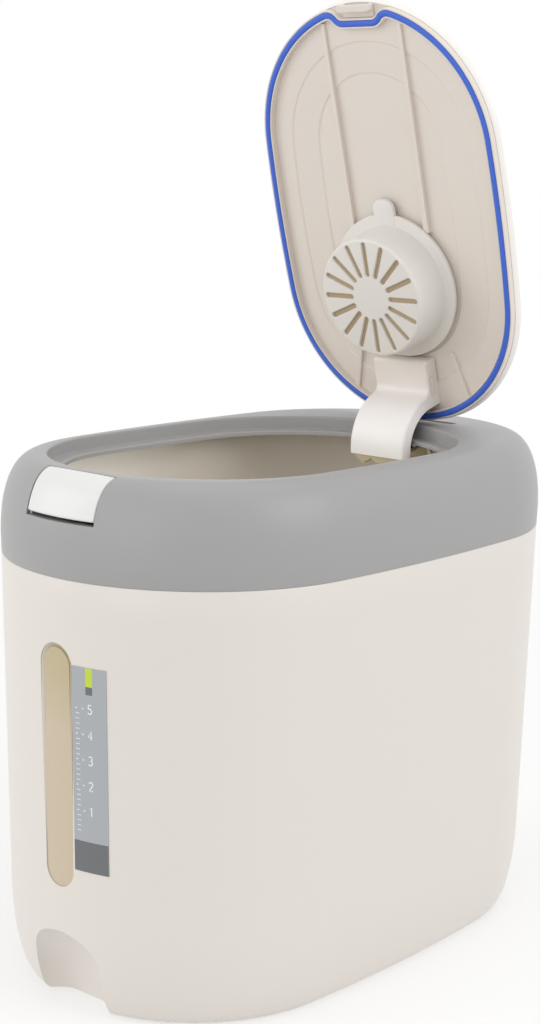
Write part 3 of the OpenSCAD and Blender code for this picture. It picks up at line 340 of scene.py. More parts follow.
# Painted light: a faint glow on the smoky walls, stronger toward the front, for light coming through the
# window and the thin walls.
smoky = finish["smoky_plastic"].node_tree.nodes["Principled BSDF"]
smoky.inputs["Emission Color"].default_value = linear("#dedcd8")
along(finish["smoky_plastic"], "Y", -0.12, 0.03, "Emission Strength", 0.34, 0.0)
along(finish["window_plastic"], "Z", 0.15, 0.19, "Base Color", "#c9b9a0", "#bfb08c")
slot_of = {entry["node"]: entry["material_slot"] for entry in frame["record"]["subparts"]}


def round_edges(node, width, angle=34.0):
    """Merges a CAD node's loose triangles, clears flat joins and rounds its sharp edges, all as modifiers."""
    thing = frame["nodes"][node]
    weld = thing.modifiers.new("weld", "WELD")
    weld.merge_threshold = 0.000002
    flat = thing.modifiers.new("flat", "DECIMATE")
    flat.decimate_type = "DISSOLVE"
    flat.angle_limit = math.radians(0.4)
    bevel = thing.modifiers.new("bevel", "BEVEL")
    bevel.width = width * 0.001
    bevel.segments = 2
    bevel.limit_method = "ANGLE"
    bevel.angle_limit = math.radians(angle)
    bevel.use_clamp_overlap = True
    bevel.harden_normals = True


for name, thing in frame["nodes"].items():
    thing.data.materials.clear()
    thing.data.materials.append(finish[slot_of[name]])

edge_widths = {"holder_cap": 0.4, "lid_catch": 0.3, "latch_button": 0.4, "latch_housing": 0.3,
               "hinge_bracket": 0.3, "latch_hook": 0.2, "holder_base": 0.3}
for name, width in edge_widths.items():
    round_edges(name, width)


# ---- outer body ----
def body_side(floor, inset, steps=26):
    """Offset and height up the body's side: a quarter ellipse from the floor, then the straight drafted wall.

    On the ellipse z = floor + (high - floor) (1 - sin t) and the offset sinks by deep (1 - cos t).
    """
    t = np.linspace(math.pi / 2, 0, steps)
    z = floor + (ROUND_HIGH - floor) * (1 - np.sin(t))
    off = -BODY_DRAFT * (1 - z / SEAM) - inset - ROUND_DEEP * (1 - np.cos(t))
    high = np.linspace(ROUND_HIGH, SEAM, 12)[1:]
    return np.concatenate([np.stack([off, z], 1),
                           np.stack([-BODY_DRAFT * (1 - high / SEAM) - inset, high], 1)])


def finger_scoop(grow, rows=30, turn=10):
    """The scoop under the front end: outlines with rounded back corners, stacked in z.

    The back is an arc, y = back - arc + sqrt(arc^2 - z^2), and near the top the half width closes on a round,
    half - corner + sqrt(corner^2 - rise^2).
    """
    deep = 26.3
    half, top, corner = 24.5 + grow, 43.5 + grow, 14.0
    back = FRONT + deep + grow
    lean = deep - BODY_DRAFT + 1
    arc = (lean * lean + top * top) / (2 * lean)
    t = np.linspace(0, math.pi / 2 - 0.12, rows)
    z = np.concatenate([[-3.0], top * np.sin(t)])
    rise = np.clip(z - (top - corner), 0, corner)
    width = half - corner + np.sqrt(corner ** 2 - rise ** 2)
    depth = back - arc + np.sqrt(np.maximum(arc ** 2 - np.clip(z, 0, None) ** 2, 0))
    bend = np.linspace(0, math.pi / 2, turn)
    r = np.minimum(corner, width - 1)[:, None]
    right = np.stack([width[:, None] - r + r * np.cos(bend), depth[:, None] - r + r * np.sin(bend)], -1)
    left = right[:, ::-1] * [-1, 1]
    low = np.stack([np.stack([-width, np.full_like(width, FRONT - 30)], -1),
                    np.stack([width, np.full_like(width, FRONT - 30)], -1)], 1)
    flat = np.concatenate([right, left, low], 1)
    up = np.broadcast_to(z[:, None, None], flat.shape[:2] + (1,))
    return sweep(np.concatenate([flat, up], 2))


def window_cutter(rows, steps=24):
    """An upright obround, carried along y through (y, extra) rows so that its edge can be flared."""
    t = np.linspace(0, math.pi, steps)
    top = np.stack([np.cos(t), np.sin(t)], 1)
    way = np.concatenate([top, -top])
    lift = np.repeat([1, -1], steps) * WINDOW_STRAIGHT / 2
    y, extra = np.array(rows).T
    flat = way * (WINDOW_HALF + extra)[:, None, None]
    up = flat[..., 1] + lift + WINDOW_MIDDLE
    return sweep(np.stack([flat[..., 0], np.broadcast_to(y[:, None], up.shape), up], -1)[::-1])


def front_y(x, z, out=0.0):
    """Where the front end's skin is at (x, z): the end arc, drawn in by the draft, moved out by out."""
    radius = BIN_OVAL[2] - BODY_DRAFT * (1 - z / SEAM) + out
    return -(BIN_OVAL[0] - BIN_OVAL[2]) - np.sqrt(radius ** 2 - x ** 2)


foot_ring = [[-28.3, 1.5], [-28.0, 0.6], [-27.4, 0.15], [-26.8, 0.0], [-17.4, 0.0]]
outer = np.concatenate([foot_ring, body_side(0, 0), [[-0.25, SEAM]]])
outer[-2, 1] = SEAM - 0.5
inner = np.concatenate([body_side(BODY_INSIDE_FLOOR, BODY_WALL), [[-BODY_WALL, SEAM + 1]]])
hollow = combine(sweep(oval_rings(BIN_OVAL, inner)), [finger_scoop(BODY_WALL)], "DIFFERENCE")
y_glass = front_y(0.0, WINDOW_MIDDLE)
flare = ((-30 + y_glass, 1.4), (y_glass + 0.1, 1.4), (y_glass + 1.6, 0.0), (y_glass + 30, 0.0))
shell = combine(sweep(oval_rings(BIN_OVAL, outer)), [hollow, finger_scoop(0), window_cutter(flare)],
                "DIFFERENCE")
body = add_piece("outer_shell", *mesh_of(shell), "bin", "body_plastic", 28.0)
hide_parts("outer_body")


# ---- collar ----
def shoulder(inset, steps=30):
    """Offset and height over the shoulder: a superellipse |u|^p + |v|^p = 1 from the band to the deck."""
    v = np.sin(np.linspace(0, math.pi / 2, steps))
    u = (1 - v ** POWER) ** (1 / POWER)
    return np.stack([BULGE - SHOULDER + (SHOULDER - inset) * u,
                     SEAM + BAND + (DECK - SEAM - BAND - inset) * v], 1)


def fillet(corner, start, end, radius, steps=6):
    """Points of a small round at a corner, between the directions of two neighbours: a quadratic curve."""
    corner, start, end = (np.asarray(p, float) for p in (corner, start, end))
    a = corner + (start - corner) / np.linalg.norm(start - corner) * radius
    b = corner + (end - corner) / np.linalg.norm(end - corner) * radius
    t = np.linspace(0, 1, steps)[:, None]
    return (1 - t) ** 2 * a + 2 * t * (1 - t) * corner + t ** 2 * b


def swing_cutter(steps=40, turns=24):
    """The room the lid's groove wall turns in: turned about the pin, its radius following the lid's end."""
    half, start, stop = 60, 152, 76        # the last two in degrees
    reach = MOUTH_Y + MOUTH_OVAL[0] - MOUTH_OVAL[2] - PIN[0]
    x = np.linspace(-half, half, steps)
    y = reach + np.sqrt((MOUTH_OVAL[2] - 2.4) ** 2 - x ** 2)
    radius = np.sqrt(y ** 2 + (SEAL_FACE + 0.8 - PIN[1]) ** 2) - 0.4
    loop = np.concatenate([np.stack([x, radius], 1), [[half, 60], [-half, 60]]])
    angle = np.radians(np.linspace(start, stop, turns))[:, None]
    points = np.stack([np.broadcast_to(loop[:, 0], (turns, len(loop))),
                       PIN[0] + loop[:, 1] * np.cos(angle), PIN[1] + loop[:, 1] * np.sin(angle)], -1)
    return sweep(points)


skin = np.concatenate([[[-0.6, SEAM + 0.05], [-0.15, SEAM + 0.15], [0.0, SEAM + 0.6]], shoulder(0)])
under = shoulder(COLLAR_WALL)[::-1]
lip_in = -LIP_SET - LIP_WALL
lip = [[-2.2, SEAM + 3], [lip_in, SEAM + 2], [lip_in, SEAM - LIP_DEEP], [-LIP_SET, SEAM - LIP_DEEP],
       [-LIP_SET, SEAM + 0.05]]
edge_round = fillet((0, DECK), (LEDGE_WIDE, DECK), (0, LEDGE), 1.4)
foot_round = fillet((0, LEDGE), (0, DECK), (-LEDGE_WIDE, LEDGE), 0.8)
rim_round = fillet((-LEDGE_WIDE, LEDGE), (0, LEDGE), (-LEDGE_WIDE, LEDGE_UNDER), 0.9)
mouth = np.concatenate([edge_round, foot_round, rim_round,
                        [[-LEDGE_WIDE, LEDGE_UNDER], [COLLAR_WALL, LEDGE_UNDER],
                         [COLLAR_WALL, DECK - COLLAR_WALL]]])
rings = np.concatenate([oval_rings(BIN_OVAL, skin), oval_rings(MOUTH_OVAL, mouth, MOUTH_Y),
                        oval_rings(BIN_OVAL, under), oval_rings(BIN_OVAL, lip)])
sill = combine(block((-BUTTON_HOLE_HALF, -176.0, 261.0), (BUTTON_HOLE_HALF, -166.8, 262.15)),
               [sweep(oval_rings(BIN_OVAL, [[-1.2, SEAM], [-1.2, DECK]]))], "INTERSECT")
catch_shelf = block((-28.3, -149.2, LEDGE_UNDER + 0.01), (28.3, -131.7, LEDGE - 0.01))
collar = combine(tube(rings), [catch_shelf, sill], "UNION")
button_hole = block((-BUTTON_HOLE_HALF, -200, BUTTON_HOLE_LOW), (BUTTON_HOLE_HALF, BUTTON_HOLE_REAR, 300))
catch_hole = block((-11.8, -149.25, 270), (11.8, -138.9, 279))
hinge_pad = block((-26, 111.4, DECK - 0.9), (26, 131.4, 300))
collar = combine(collar, [button_hole, catch_hole, hinge_pad, swing_cutter()], "DIFFERENCE")
collar = add_piece("collar_shell", *mesh_of(collar), "bin", "collar_plastic", 30.0)
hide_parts("collar")

# ---- inner bin ----
bend = SEAM + 6.24
rim_out = [[-LINER_OUT, bend], [-7.6, LINER_RIM - 1.4], [-8.0, LINER_RIM - 0.4], [-8.6, LINER_RIM]]
rim_in = [[-LINER_IN, bend], [-9.7, LINER_RIM - 1.4], [-9.3, LINER_RIM - 0.4], [-8.7, LINER_RIM],
          [-8.7, LINER_RIM + 1]]
wall_out = np.concatenate([body_side(BODY_INSIDE_FLOOR, LINER_OUT)[:-1], rim_out])
wall_in = np.concatenate([body_side(LINER_FLOOR, LINER_IN)[:-1], rim_in])
hollow = combine(sweep(oval_rings(BIN_OVAL, wall_in)), [finger_scoop(LINER_IN)], "DIFFERENCE")
latch_bay = block((-29.3, -195, 251), (29.3, -135, 400))
liner = combine(sweep(oval_rings(BIN_OVAL, wall_out)), [hollow, finger_scoop(LINER_OUT), latch_bay],
                "DIFFERENCE")
liner = add_piece("liner", *mesh_of(liner), "bin", "smoky_plastic", 30.0)
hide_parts("inner_bin")

# ---- lid cover ----
def crown(inset, steps=34):
    """Offset and height over the lid: a wide, very flat quarter ellipse that ends level in the middle."""
    t = np.linspace(0, math.pi / 2, steps)
    return np.stack([-LID_GAP - inset - (CROWN_WIDE - inset) * (1 - np.cos(t)),
                     DECK + (CROWN - inset) * np.sin(t)], 1)


top = crown(0)
top[0, 1] = DECK - 0.3
hem = PANEL_FACE - 0.4
cover = np.concatenate([crown(COVER_WALL)[::-1], [[-2.3, hem], [-2.0, hem]],
                        fillet((-LID_GAP, 284.4), (-2.0, hem), (-LID_GAP, DECK), 1.0), top])
points, faces = sweep(oval_rings(MOUTH_OVAL, cover, MOUTH_Y))
cover = add_piece("cover_shell", opened(points), faces, "lid", "lid_plastic", 32.0, cover_white)
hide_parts("lid_cover")


# ---- seal ----
def seal_line(offset):
    """The seal's line in the lid's plane, moved out by offset: an oval with a flat notch round the catch.

    Each point is an arc's middle plus (radius + sign * offset) times its direction; the arcs are rear end,
    side, front end, crest and notch (hollow, so its sign is minus), then the notch's straight floor, and all
    of it mirrored.
    """
    a, b, e = MOUTH_OVAL[0] - 5.2, MOUTH_OVAL[1] - 5.2, MOUTH_OVAL[2] - 5.2
    reach = a - e
    big = (b * b + reach * reach - e * e) / (2 * (b - e))
    turn = math.atan2(reach, big - b)
    floor, bend, half = a - 8.3, 7.0, 10.5
    end_mid, notch_mid = np.array([0, reach]), np.array([half, floor + bend])
    gap = np.linalg.norm(notch_mid - end_mid)
    way = (notch_mid - end_mid) / gap
    inside = e - bend
    along = (inside ** 2 - 4 * bend ** 2 + gap ** 2) / (2 * gap)
    aside = math.sqrt(inside ** 2 - along ** 2)
    crest_mid = end_mid + along * way + aside * np.array([way[1], -way[0]])
    lift = math.atan2(*(crest_mid - end_mid)[::-1])
    face = math.atan2(*(notch_mid - crest_mid)[::-1])
    parts = [((0, -reach), e, 1, -math.pi / 2, -turn, 60), ((b - big, 0), big, 1, -turn, 0, 30),
             ((b - big, 0), big, 1, 0, turn, 30), (end_mid, e, 1, turn, lift, 50),
             (crest_mid, bend, 1, lift, face, 14), (notch_mid, bend, -1, face - math.pi, -math.pi / 2, 12)]
    line = []
    for middle, radius, sign, start, stop, count in parts:
        t = np.linspace(start, stop, count, endpoint=False)
        line.append(np.asarray(middle) + (radius + sign * offset) * np.stack([np.cos(t), np.sin(t)], 1))
    right = np.concatenate(line + [[[half, floor + offset], [half / 2, floor + offset], [0, floor + offset]]])
    return np.concatenate([right, (right * [-1, 1])[::-1][1:-1]])


def along_seal(profile):
    """A closed (offset, height) profile carried round the seal's line and opened with the lid."""
    rings = []
    for offset, height in profile:
        line = seal_line(offset)
        rings.append(np.stack([line[:, 0], MOUTH_Y - line[:, 1], np.full(len(line), height)], 1))
    points, faces = tube(np.array(rings))
    return opened(points), faces


t = np.linspace(0, math.pi, 13)
bead = np.concatenate([np.stack([1.7 * np.cos(t), SEAL_FACE + 1.2 - 1.2 * np.sin(t)], 1),
                       [[-1.7, SEAL_FACE + 3.0], [1.7, SEAL_FACE + 3.0]]])
seal = add_piece("seal_ring", *along_seal(bead), "lid", "blue_rubber", 60.0)
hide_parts("lid_gasket")

# ---- lid panel ----
def step_rings(oval, low, high, half=0.7, steps=9):
    """Rings of a soft step round an oval: the height is 3t^2 - 2t^3 as the offset runs from -half to half."""
    t = np.linspace(0, 1, steps)
    rise = low + (high - low) * (3 * t ** 2 - 2 * t ** 3)
    return oval_rings(oval, np.stack([half * (2 * t - 1), rise], 1), MOUTH_Y)


def bar(start, end, low, high, halves, edge=0.35):
    """A straight rib between two (x, s) places: a six-sided section carried, and widened, from end to end."""
    start, end = np.array([start[0], MOUTH_Y - start[1]]), np.array([end[0], MOUTH_Y - end[1]])
    way = (end - start) / np.linalg.norm(end - start)
    aside = np.array([-way[1], way[0]])
    rings = []
    for place, half in ((end, halves[1]), (start, halves[0])):
        section = [(half, high), (half, low + edge), (half - edge, low), (edge - half, low),
                   (-half, low + edge), (-half, high)]
        rings.append([(*(place + aside * a), z) for a, z in section])
    return sweep(np.array(rings))


def disc(x, y, low, high, radius, count=48):
    """An upright cylinder, as two rings."""
    t = np.linspace(0, 2 * math.pi, count, endpoint=False)
    ring = np.stack([x + radius * np.cos(t), y + radius * np.sin(t)], 1)
    return sweep(np.stack([np.column_stack([ring, np.full(count, z)]) for z in (low, high)]))


step, sheet = 0.6, 1.4
rim = [[-2.5, PANEL_FACE], [-2.4, PANEL_FACE + 0.1], [-2.4, PANEL_FACE + sheet]]
upper = [[1.6, PANEL_FACE + sheet], [1.2, PANEL_FACE + sheet + step]]
top = [[1.6, PANEL_FACE + sheet + step], [1.2, PANEL_FACE + sheet + 2 * step]]
under = [oval_rings(STEP_INNER, [[-1.2, PANEL_FACE + 2 * step]], MOUTH_Y),
         step_rings(STEP_INNER, PANEL_FACE + 2 * step, PANEL_FACE + step),
         step_rings(STEP_OUTER, PANEL_FACE + step, PANEL_FACE), oval_rings(MOUTH_OVAL, rim, MOUTH_Y),
         oval_rings(STEP_OUTER, upper, MOUTH_Y), oval_rings(STEP_INNER, top, MOUTH_Y)]
groove = [(2.8, PANEL_FACE + 0.4), (2.8, SEAL_FACE + 1.1), (2.5, SEAL_FACE + 0.8), (2.1, SEAL_FACE + 0.8),
          (1.8, SEAL_FACE + 1.0), (1.8, SEAL_FACE + 3.0), (-1.8, SEAL_FACE + 3.0), (-1.8, SEAL_FACE + 1.0),
          (-2.1, SEAL_FACE + 0.8), (-2.5, SEAL_FACE + 0.8), (-2.8, SEAL_FACE + 1.1), (-2.8, PANEL_FACE + 0.4)]
lines = []
for offset, height in groove:
    line = [1, -1] * seal_line(offset - 0.002) + [0, MOUTH_Y]
    lines.append(np.column_stack([line, np.full(len(line), height)]))
low, high = PANEL_FACE - 1.8, PANEL_FACE + 1.0
ribs = []
for side in (-1, 1):
    ribs += [bar((side * 27.5, -7), (side * 27.5, 114.9), low, PANEL_FACE + 1.7, (2.0, 1.4)),
             bar((side * 34, -80), (side * 43, -112), low, high, (1.2, 1.9)),
             bar((side * 24, -72), (side * 20.5, -77), low, high, (1.2, 1.2))]
studs = [disc(x, MOUTH_Y + s, PANEL_FACE + 1.0, PANEL_FACE + 4.2, 3.6) for x in (-9, 9) for s in (92, 103)]
panel = combine(sweep(np.concatenate(under)), [tube(np.array(lines))] + ribs + studs, "UNION")
panel = add_piece("panel_shell", *opened_mesh(panel), "lid", "lid_plastic", 40.0)
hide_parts("lid_panel")


# ---- vent cup ----
HOLDER_Y = MOUTH_Y + 40.4
CAP_FACE, CAP_RADIUS, CAP_FOOT, CAP_WALL = SEAL_FACE - 22.0, 36.0, 37.5, 1.6
FLANGE, FLANGE_RADIUS, BORE = PANEL_FACE - 4.0, 44.0, 34.9
SLOTS, POUCH_RADIUS = 16, 34.2


def turned(profile, x, y, count=160):
    """A closed (radius, height) profile turned about an upright axis at (x, y)."""
    profile = np.asarray(profile, float)
    t = np.linspace(0, 2 * math.pi, count, endpoint=False)
    return np.stack([x + profile[:, :1] * np.cos(t), y + profile[:, :1] * np.sin(t),
                     np.broadcast_to(profile[:, 1:], (len(profile), count))], -1)


def slot(turn, rows, inner=14.5, outer=32.5, half=1.5, steps=12):
    """A radial slot's cutter: an obround carried up (height, extra) rows and turned about the cup's axis."""
    t = np.linspace(-math.pi / 2, math.pi / 2, steps)
    rings = []
    for z, extra in rows:
        r = half + extra
        ring = np.concatenate([np.stack([outer + r * np.cos(t), r * np.sin(t)], 1),
                               np.stack([inner - r * np.cos(t), -r * np.sin(t)], 1)])
        rings.append(np.stack([ring[:, 0] * math.cos(turn) - ring[:, 1] * math.sin(turn),
                               HOLDER_Y + ring[:, 0] * math.sin(turn) + ring[:, 1] * math.cos(turn),
                               np.full(len(ring), z)], 1))
    return sweep(np.array(rings))


def thumb_tab():
    """The thumb tab: a rounded tongue standing on the flange, its lower edge softened by smaller rings."""
    t = np.linspace(0, math.pi / 2, 8)
    heights = ((PANEL_FACE - 4.5, 0.7), (PANEL_FACE - 4.3, 0.3), (PANEL_FACE - 4.0, 0.08),
               (PANEL_FACE - 3.5, 0.0), (FLANGE + 1.9, 0.0))
    rings = []
    for z, inset in heights:
        half, tip, r = 7.5 - inset, 53.0 - inset, 6.0 - inset
        right = np.stack([half - r + r * np.cos(t), tip - r + r * np.sin(t)], 1)
        ring = np.concatenate([[[-half, 36.6], [half, 36.6]], right, (right * [-1, 1])[::-1]])
        rings.append(np.column_stack([ring[:, 0], HOLDER_Y - ring[:, 1], np.full(len(ring), z)]))
    return sweep(np.array(rings)[:, ::-1])


face_round = fillet((CAP_RADIUS, CAP_FACE), (0, CAP_FACE), (CAP_FOOT, FLANGE), 2.0)
foot_round = fillet((CAP_FOOT, FLANGE), (CAP_RADIUS, CAP_FACE), (FLANGE_RADIUS, FLANGE), 0.9)
rim_round = fillet((FLANGE_RADIUS, FLANGE), (CAP_FOOT, FLANGE), (FLANGE_RADIUS, FLANGE + 2), 0.6)
inside = [[FLANGE_RADIUS, FLANGE + 2.0], [BORE, FLANGE + 2.0], [BORE, FLANGE],
          [CAP_FOOT - CAP_WALL, FLANGE - 0.4], [CAP_RADIUS - CAP_WALL, CAP_FACE + CAP_WALL],
          [1.0, CAP_FACE + CAP_WALL]]
profile = np.concatenate([[[1.0, CAP_FACE]], face_round, foot_round, rim_round, inside])
cup = combine(sweep(turned(profile, 0, HOLDER_Y)), [thumb_tab()], "UNION")
flare = ((CAP_FACE - 1.0, 0.45), (CAP_FACE + 0.02, 0.42), (CAP_FACE + 0.18, 0.14), (CAP_FACE + 0.5, 0.0),
         (CAP_FACE + 4.0, 0.0))
turns = math.pi / 2 + np.arange(SLOTS) * 2 * math.pi / SLOTS
cup = combine(cup, [slot(turn, flare) for turn in turns], "DIFFERENCE")
cup = add_piece("vent_cup", *opened_mesh(cup), "holder", "holder_plastic", 40.0)
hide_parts("holder_cap")

pouch = [[0.5, CAP_FACE + 1.7], [POUCH_RADIUS, CAP_FACE + 1.7], [POUCH_RADIUS, CAP_FACE + 4.0],
         [POUCH_RADIUS - 0.8, PANEL_FACE - 4.6], [0.5, PANEL_FACE - 4.6]]
points, faces = sweep(turned(pouch, 0, HOLDER_Y, 96))
pouch = add_piece("pouch", opened(points), faces, "lid", "pack_fabric", 50.0)
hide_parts("freshness_pack")

# ---- goose-neck arm ----
ARM_HALF, ARM_WALL, ARM_OUT, ARM_IN, ARM_END = 20.0, 2.0, 32.7, 24.7, -4.2
FOOT_END, FOOT_FACE, FOOT_BACK = -53.8, 1.5, PANEL_FACE - PIN[1]


def arm_rings(inset, deeper, end, neck=5.0, toe=2.5, edge=1.6):
    """Rounded channel sections of the arm, from its foot to its free end, about the pin with the lid closed.

    The outer line is the foot's end, a toe round, the foot's face, a neck round tangent to the face and to
    the arc about the pin, and that arc. The inner line is the foot's back and a smaller arc. Each section is
    the strip between an outer and an inner point, with its two outer corners rounded.
    """
    radius, near = ARM_OUT - inset, ARM_IN - deeper
    bend = np.linspace(0, math.pi / 2, 6)
    toe_y, toe_z = FOOT_END + toe, FOOT_FACE + toe
    r = toe - inset if toe > inset else 0.2
    tip = np.stack([toe_y - r * np.cos(bend), toe_z - r * np.sin(bend)], 1)
    neck_z = FOOT_FACE - neck
    neck_y = -math.sqrt((ARM_OUT + neck) ** 2 - neck_z ** 2)
    start = math.atan2(-neck_z, -neck_y)
    round_t = np.linspace(math.pi / 2, start, 7)
    neck_line = np.stack([neck_y + (neck + inset) * np.cos(round_t),
                          neck_z + (neck + inset) * np.sin(round_t)], 1)
    angle = np.linspace(math.pi + start, 1.5 * math.pi + math.asin(end / ARM_OUT), 40)[1:]
    arc_out = radius * np.stack([np.cos(angle), np.sin(angle)], 1)
    arc_in = near * np.stack([np.cos(angle), np.sin(angle)], 1)
    face = np.stack([np.linspace(toe_y, neck_y, 8)[1:-1], np.full(6, FOOT_FACE + inset)], 1)
    out = np.concatenate([[[FOOT_END + inset, FOOT_BACK + deeper]], tip, face, neck_line, arc_out])
    back = np.stack([np.linspace(-46, -near, 9), np.full(9, FOOT_BACK + deeper)], 1)
    down = np.stack([np.full(5, -near), np.linspace(FOOT_BACK + deeper, 0, 6)[1:]], 1)
    first_in = near * np.array([[-math.cos(start), -math.sin(start)]])
    inward = np.concatenate([np.tile(back[:1], (6, 1)), back, down[[0, 2, 3, 4]], first_in, arc_in])
    length = np.linalg.norm(out - inward, axis=1)
    way = (out - inward) / length[:, None]
    half = ARM_HALF - inset
    edge = max(edge - inset, 0.1)
    t = np.linspace(0, math.pi / 2, 6)
    x = np.concatenate([[half], half - edge + edge * np.cos(t)])
    short = np.concatenate([[0], edge * (1 - np.sin(t))])
    x = np.concatenate([x, -x[::-1]])
    short = np.concatenate([short, short[::-1]])
    reach = length[:, None] - short
    reach[:, [0, -1]] = 0.0
    flat = inward[:, None] + reach[..., None] * way[:, None]
    return np.concatenate([np.broadcast_to(x[None, :, None], reach.shape + (1,)), flat + [PIN[0], PIN[1]]], 2)


cuts = [sweep(arm_rings(ARM_WALL, 6.0, ARM_END + 8))]
# an engraved outline, one line wide, on the arm's right side
low_y, high_y, low_z, high_z, line = PIN[0] - 43.7, PIN[0] - 31.5, PIN[1] + 3.4, PIN[1] + 7.3, 0.4
for y0, y1, z0, z1 in ((low_y, high_y, low_z, low_z + line), (low_y, high_y, high_z - line, high_z),
                       (low_y, low_y + line, low_z, high_z), (high_y - line, high_y, low_z, high_z)):
    cuts.append(block((ARM_HALF - 0.5, y0, z0), (ARM_HALF + 1, y1, z1)))
arm = combine(sweep(arm_rings(0.0, 0.0, ARM_END)), cuts, "DIFFERENCE")
arm = add_piece("arm_shell", *opened_mesh(arm), "lid", slot_of["arm_cover"], 40.0, arm_white)
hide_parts("arm_cover")


def arm_tail(half=17.6, outer=30.5, inner=28.4, start=190.0, cusp=-1.4, lobe=2.4, count=73):
    """The frame's front wall: a curved plate whose free edge is cusp + lobe |sin| of three half waves."""
    x = np.linspace(-half, half, count)[:, None]
    edge = cusp + lobe * np.abs(np.sin(1.5 * math.pi * (x / half + 1)))
    angle = math.radians(start) + np.linspace(0, 1, 20) * (math.radians(270 - start) + edge / outer)
    loop = np.concatenate([angle, angle[:, ::-1]], 1)
    radius = np.repeat([outer, inner], 20)
    return sweep(np.stack([np.broadcast_to(x, loop.shape), PIN[0] + radius * np.cos(loop),
                           PIN[1] + radius * np.sin(loop)], -1))


def frame_rib(middle, half):
    """One upright rib of the frame: the arm's own sections, narrowed to 2 * half about a middle."""
    rings = arm_rings(FRAME_SET, 0.0, FRAME_END)
    rings[..., 0] = middle + rings[..., 0] / (ARM_HALF - FRAME_SET) * half
    return sweep(rings)


FRAME_SET, FRAME_END, FRAME_HALF, RIB_HALF = 2.2, -2.2, 17.8, 0.9
LUG_HALF, LUG_RADIUS, LUG_BORE, LUG_REACH = 2.0, 6.0, 3.87, 4.2
frame_parts = [arm_tail()] + [frame_rib(x, RIB_HALF) for x in (-7, 0, 7)]
for side in (-1, 1):
    x = side * (FRAME_HALF - LUG_HALF)
    x0, x1 = x - LUG_HALF, x + LUG_HALF
    lug = block((x0, PIN[0] - LUG_REACH, PIN[1] - ARM_IN - 2), (x1, PIN[0] + LUG_REACH, PIN[1]))
    frame_parts += [frame_rib(x, LUG_HALF), round_bar(x0, x1, *PIN, LUG_RADIUS), lug]
arm_frame = combine(frame_parts[0], frame_parts[1:], "UNION")
arm_frame = combine(arm_frame, [round_bar(-30, 30, *PIN, LUG_BORE)], "DIFFERENCE")
arm_frame = add_piece("arm_frame", *opened_mesh(arm_frame), "lid", slot_of["hinge_arm"], 40.0, tail_shade_tan)
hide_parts("hinge_arm")


# ---- window pane and label ----
def skin_slab(x0, x1, z0, z1, inside, outside, columns=24, rows=60):
    """A slab that follows the front end's skin between two offsets, over a width and a height."""
    x = np.linspace(x0, x1, columns)
    z = np.linspace(z0, z1, rows)[:, None]
    wide = np.broadcast_to(np.concatenate([x, x[::-1]]), (rows, 2 * columns))
    deep = np.concatenate([front_y(x, z, outside), front_y(x[::-1], z, inside)], 1)
    return sweep(np.stack([wide, deep, np.broadcast_to(z, wide.shape)], -1))


edge = ((y_glass - 30, -1.0), (y_glass + 0.45, -1.0), (y_glass + 1.1, -0.1), (y_glass + 30, -0.1))
pane = combine(skin_slab(-12, 12, 66, 200.5, -2.6, -0.6), [window_cutter(edge)], "INTERSECT")
pane = add_piece("pane", *mesh_of(pane), "bin", "window_plastic", 30.0)
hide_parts("window_pane")
label = add_piece("label", *skin_slab(*LABEL_X, *LABEL_Z, 0.06, LABEL_FACE), "bin", "label_film", 40.0)
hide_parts("level_label")


def printed(name, x, z, colour):
    """A printed patch: a slab a fiftieth of a millimetre thick on the label's face."""
    points, faces = skin_slab(*x, *z, LABEL_FACE, LABEL_FACE + PRINT_THICK, 12, 3)
    add_piece(name, points, faces, "bin", "label_film", 40.0, colour)


def arc(x, z, rx, rz, start, stop, count=12):
    """Points along part of an ellipse, its angles in degrees."""
    t = np.radians(np.linspace(start, stop, count))
    return np.stack([x + rx * np.cos(t), z + rz * np.sin(t)], 1)


def numeral(digit):
    """The line of a plain numeral, one unit wide and two high, made of corners and ellipse arcs."""
    lines = {1: [[0.22, 1.62], [0.58, 2.0], [0.58, 0.0]],
             2: [*arc(0.5, 1.5, 0.45, 0.5, 165, -35), [0.05, 0.0], [1.0, 0.0]],
             3: [*arc(0.48, 1.52, 0.42, 0.48, 150, -80), *arc(0.45, 0.52, 0.5, 0.52, 85, -150)],
             4: [[0.75, 0.0], [0.75, 2.0], [0.02, 0.6], [1.02, 0.6]],
             5: [[0.9, 2.0], [0.2, 2.0], [0.12, 1.1], *arc(0.45, 0.6, 0.5, 0.6, 115, -150)]}
    return np.array(lines[digit])


def ribbon(line, width, out):
    """A flat stroke of one width along a line of (x, z) points, laid on the front end's skin."""
    way = np.gradient(line, axis=0)
    way /= np.linalg.norm(way, axis=1)[:, None]
    aside = np.stack([-way[:, 1], way[:, 0]], 1) * width / 2
    edges = np.stack([line + aside, line - aside])
    y = front_y(edges[..., 0], edges[..., 1], out)
    points = np.stack([edges[..., 0], y, edges[..., 1]], -1).reshape(-1, 3)
    return points, [f[::-1] for f in grid_faces(2, len(line), loop_columns=False)]


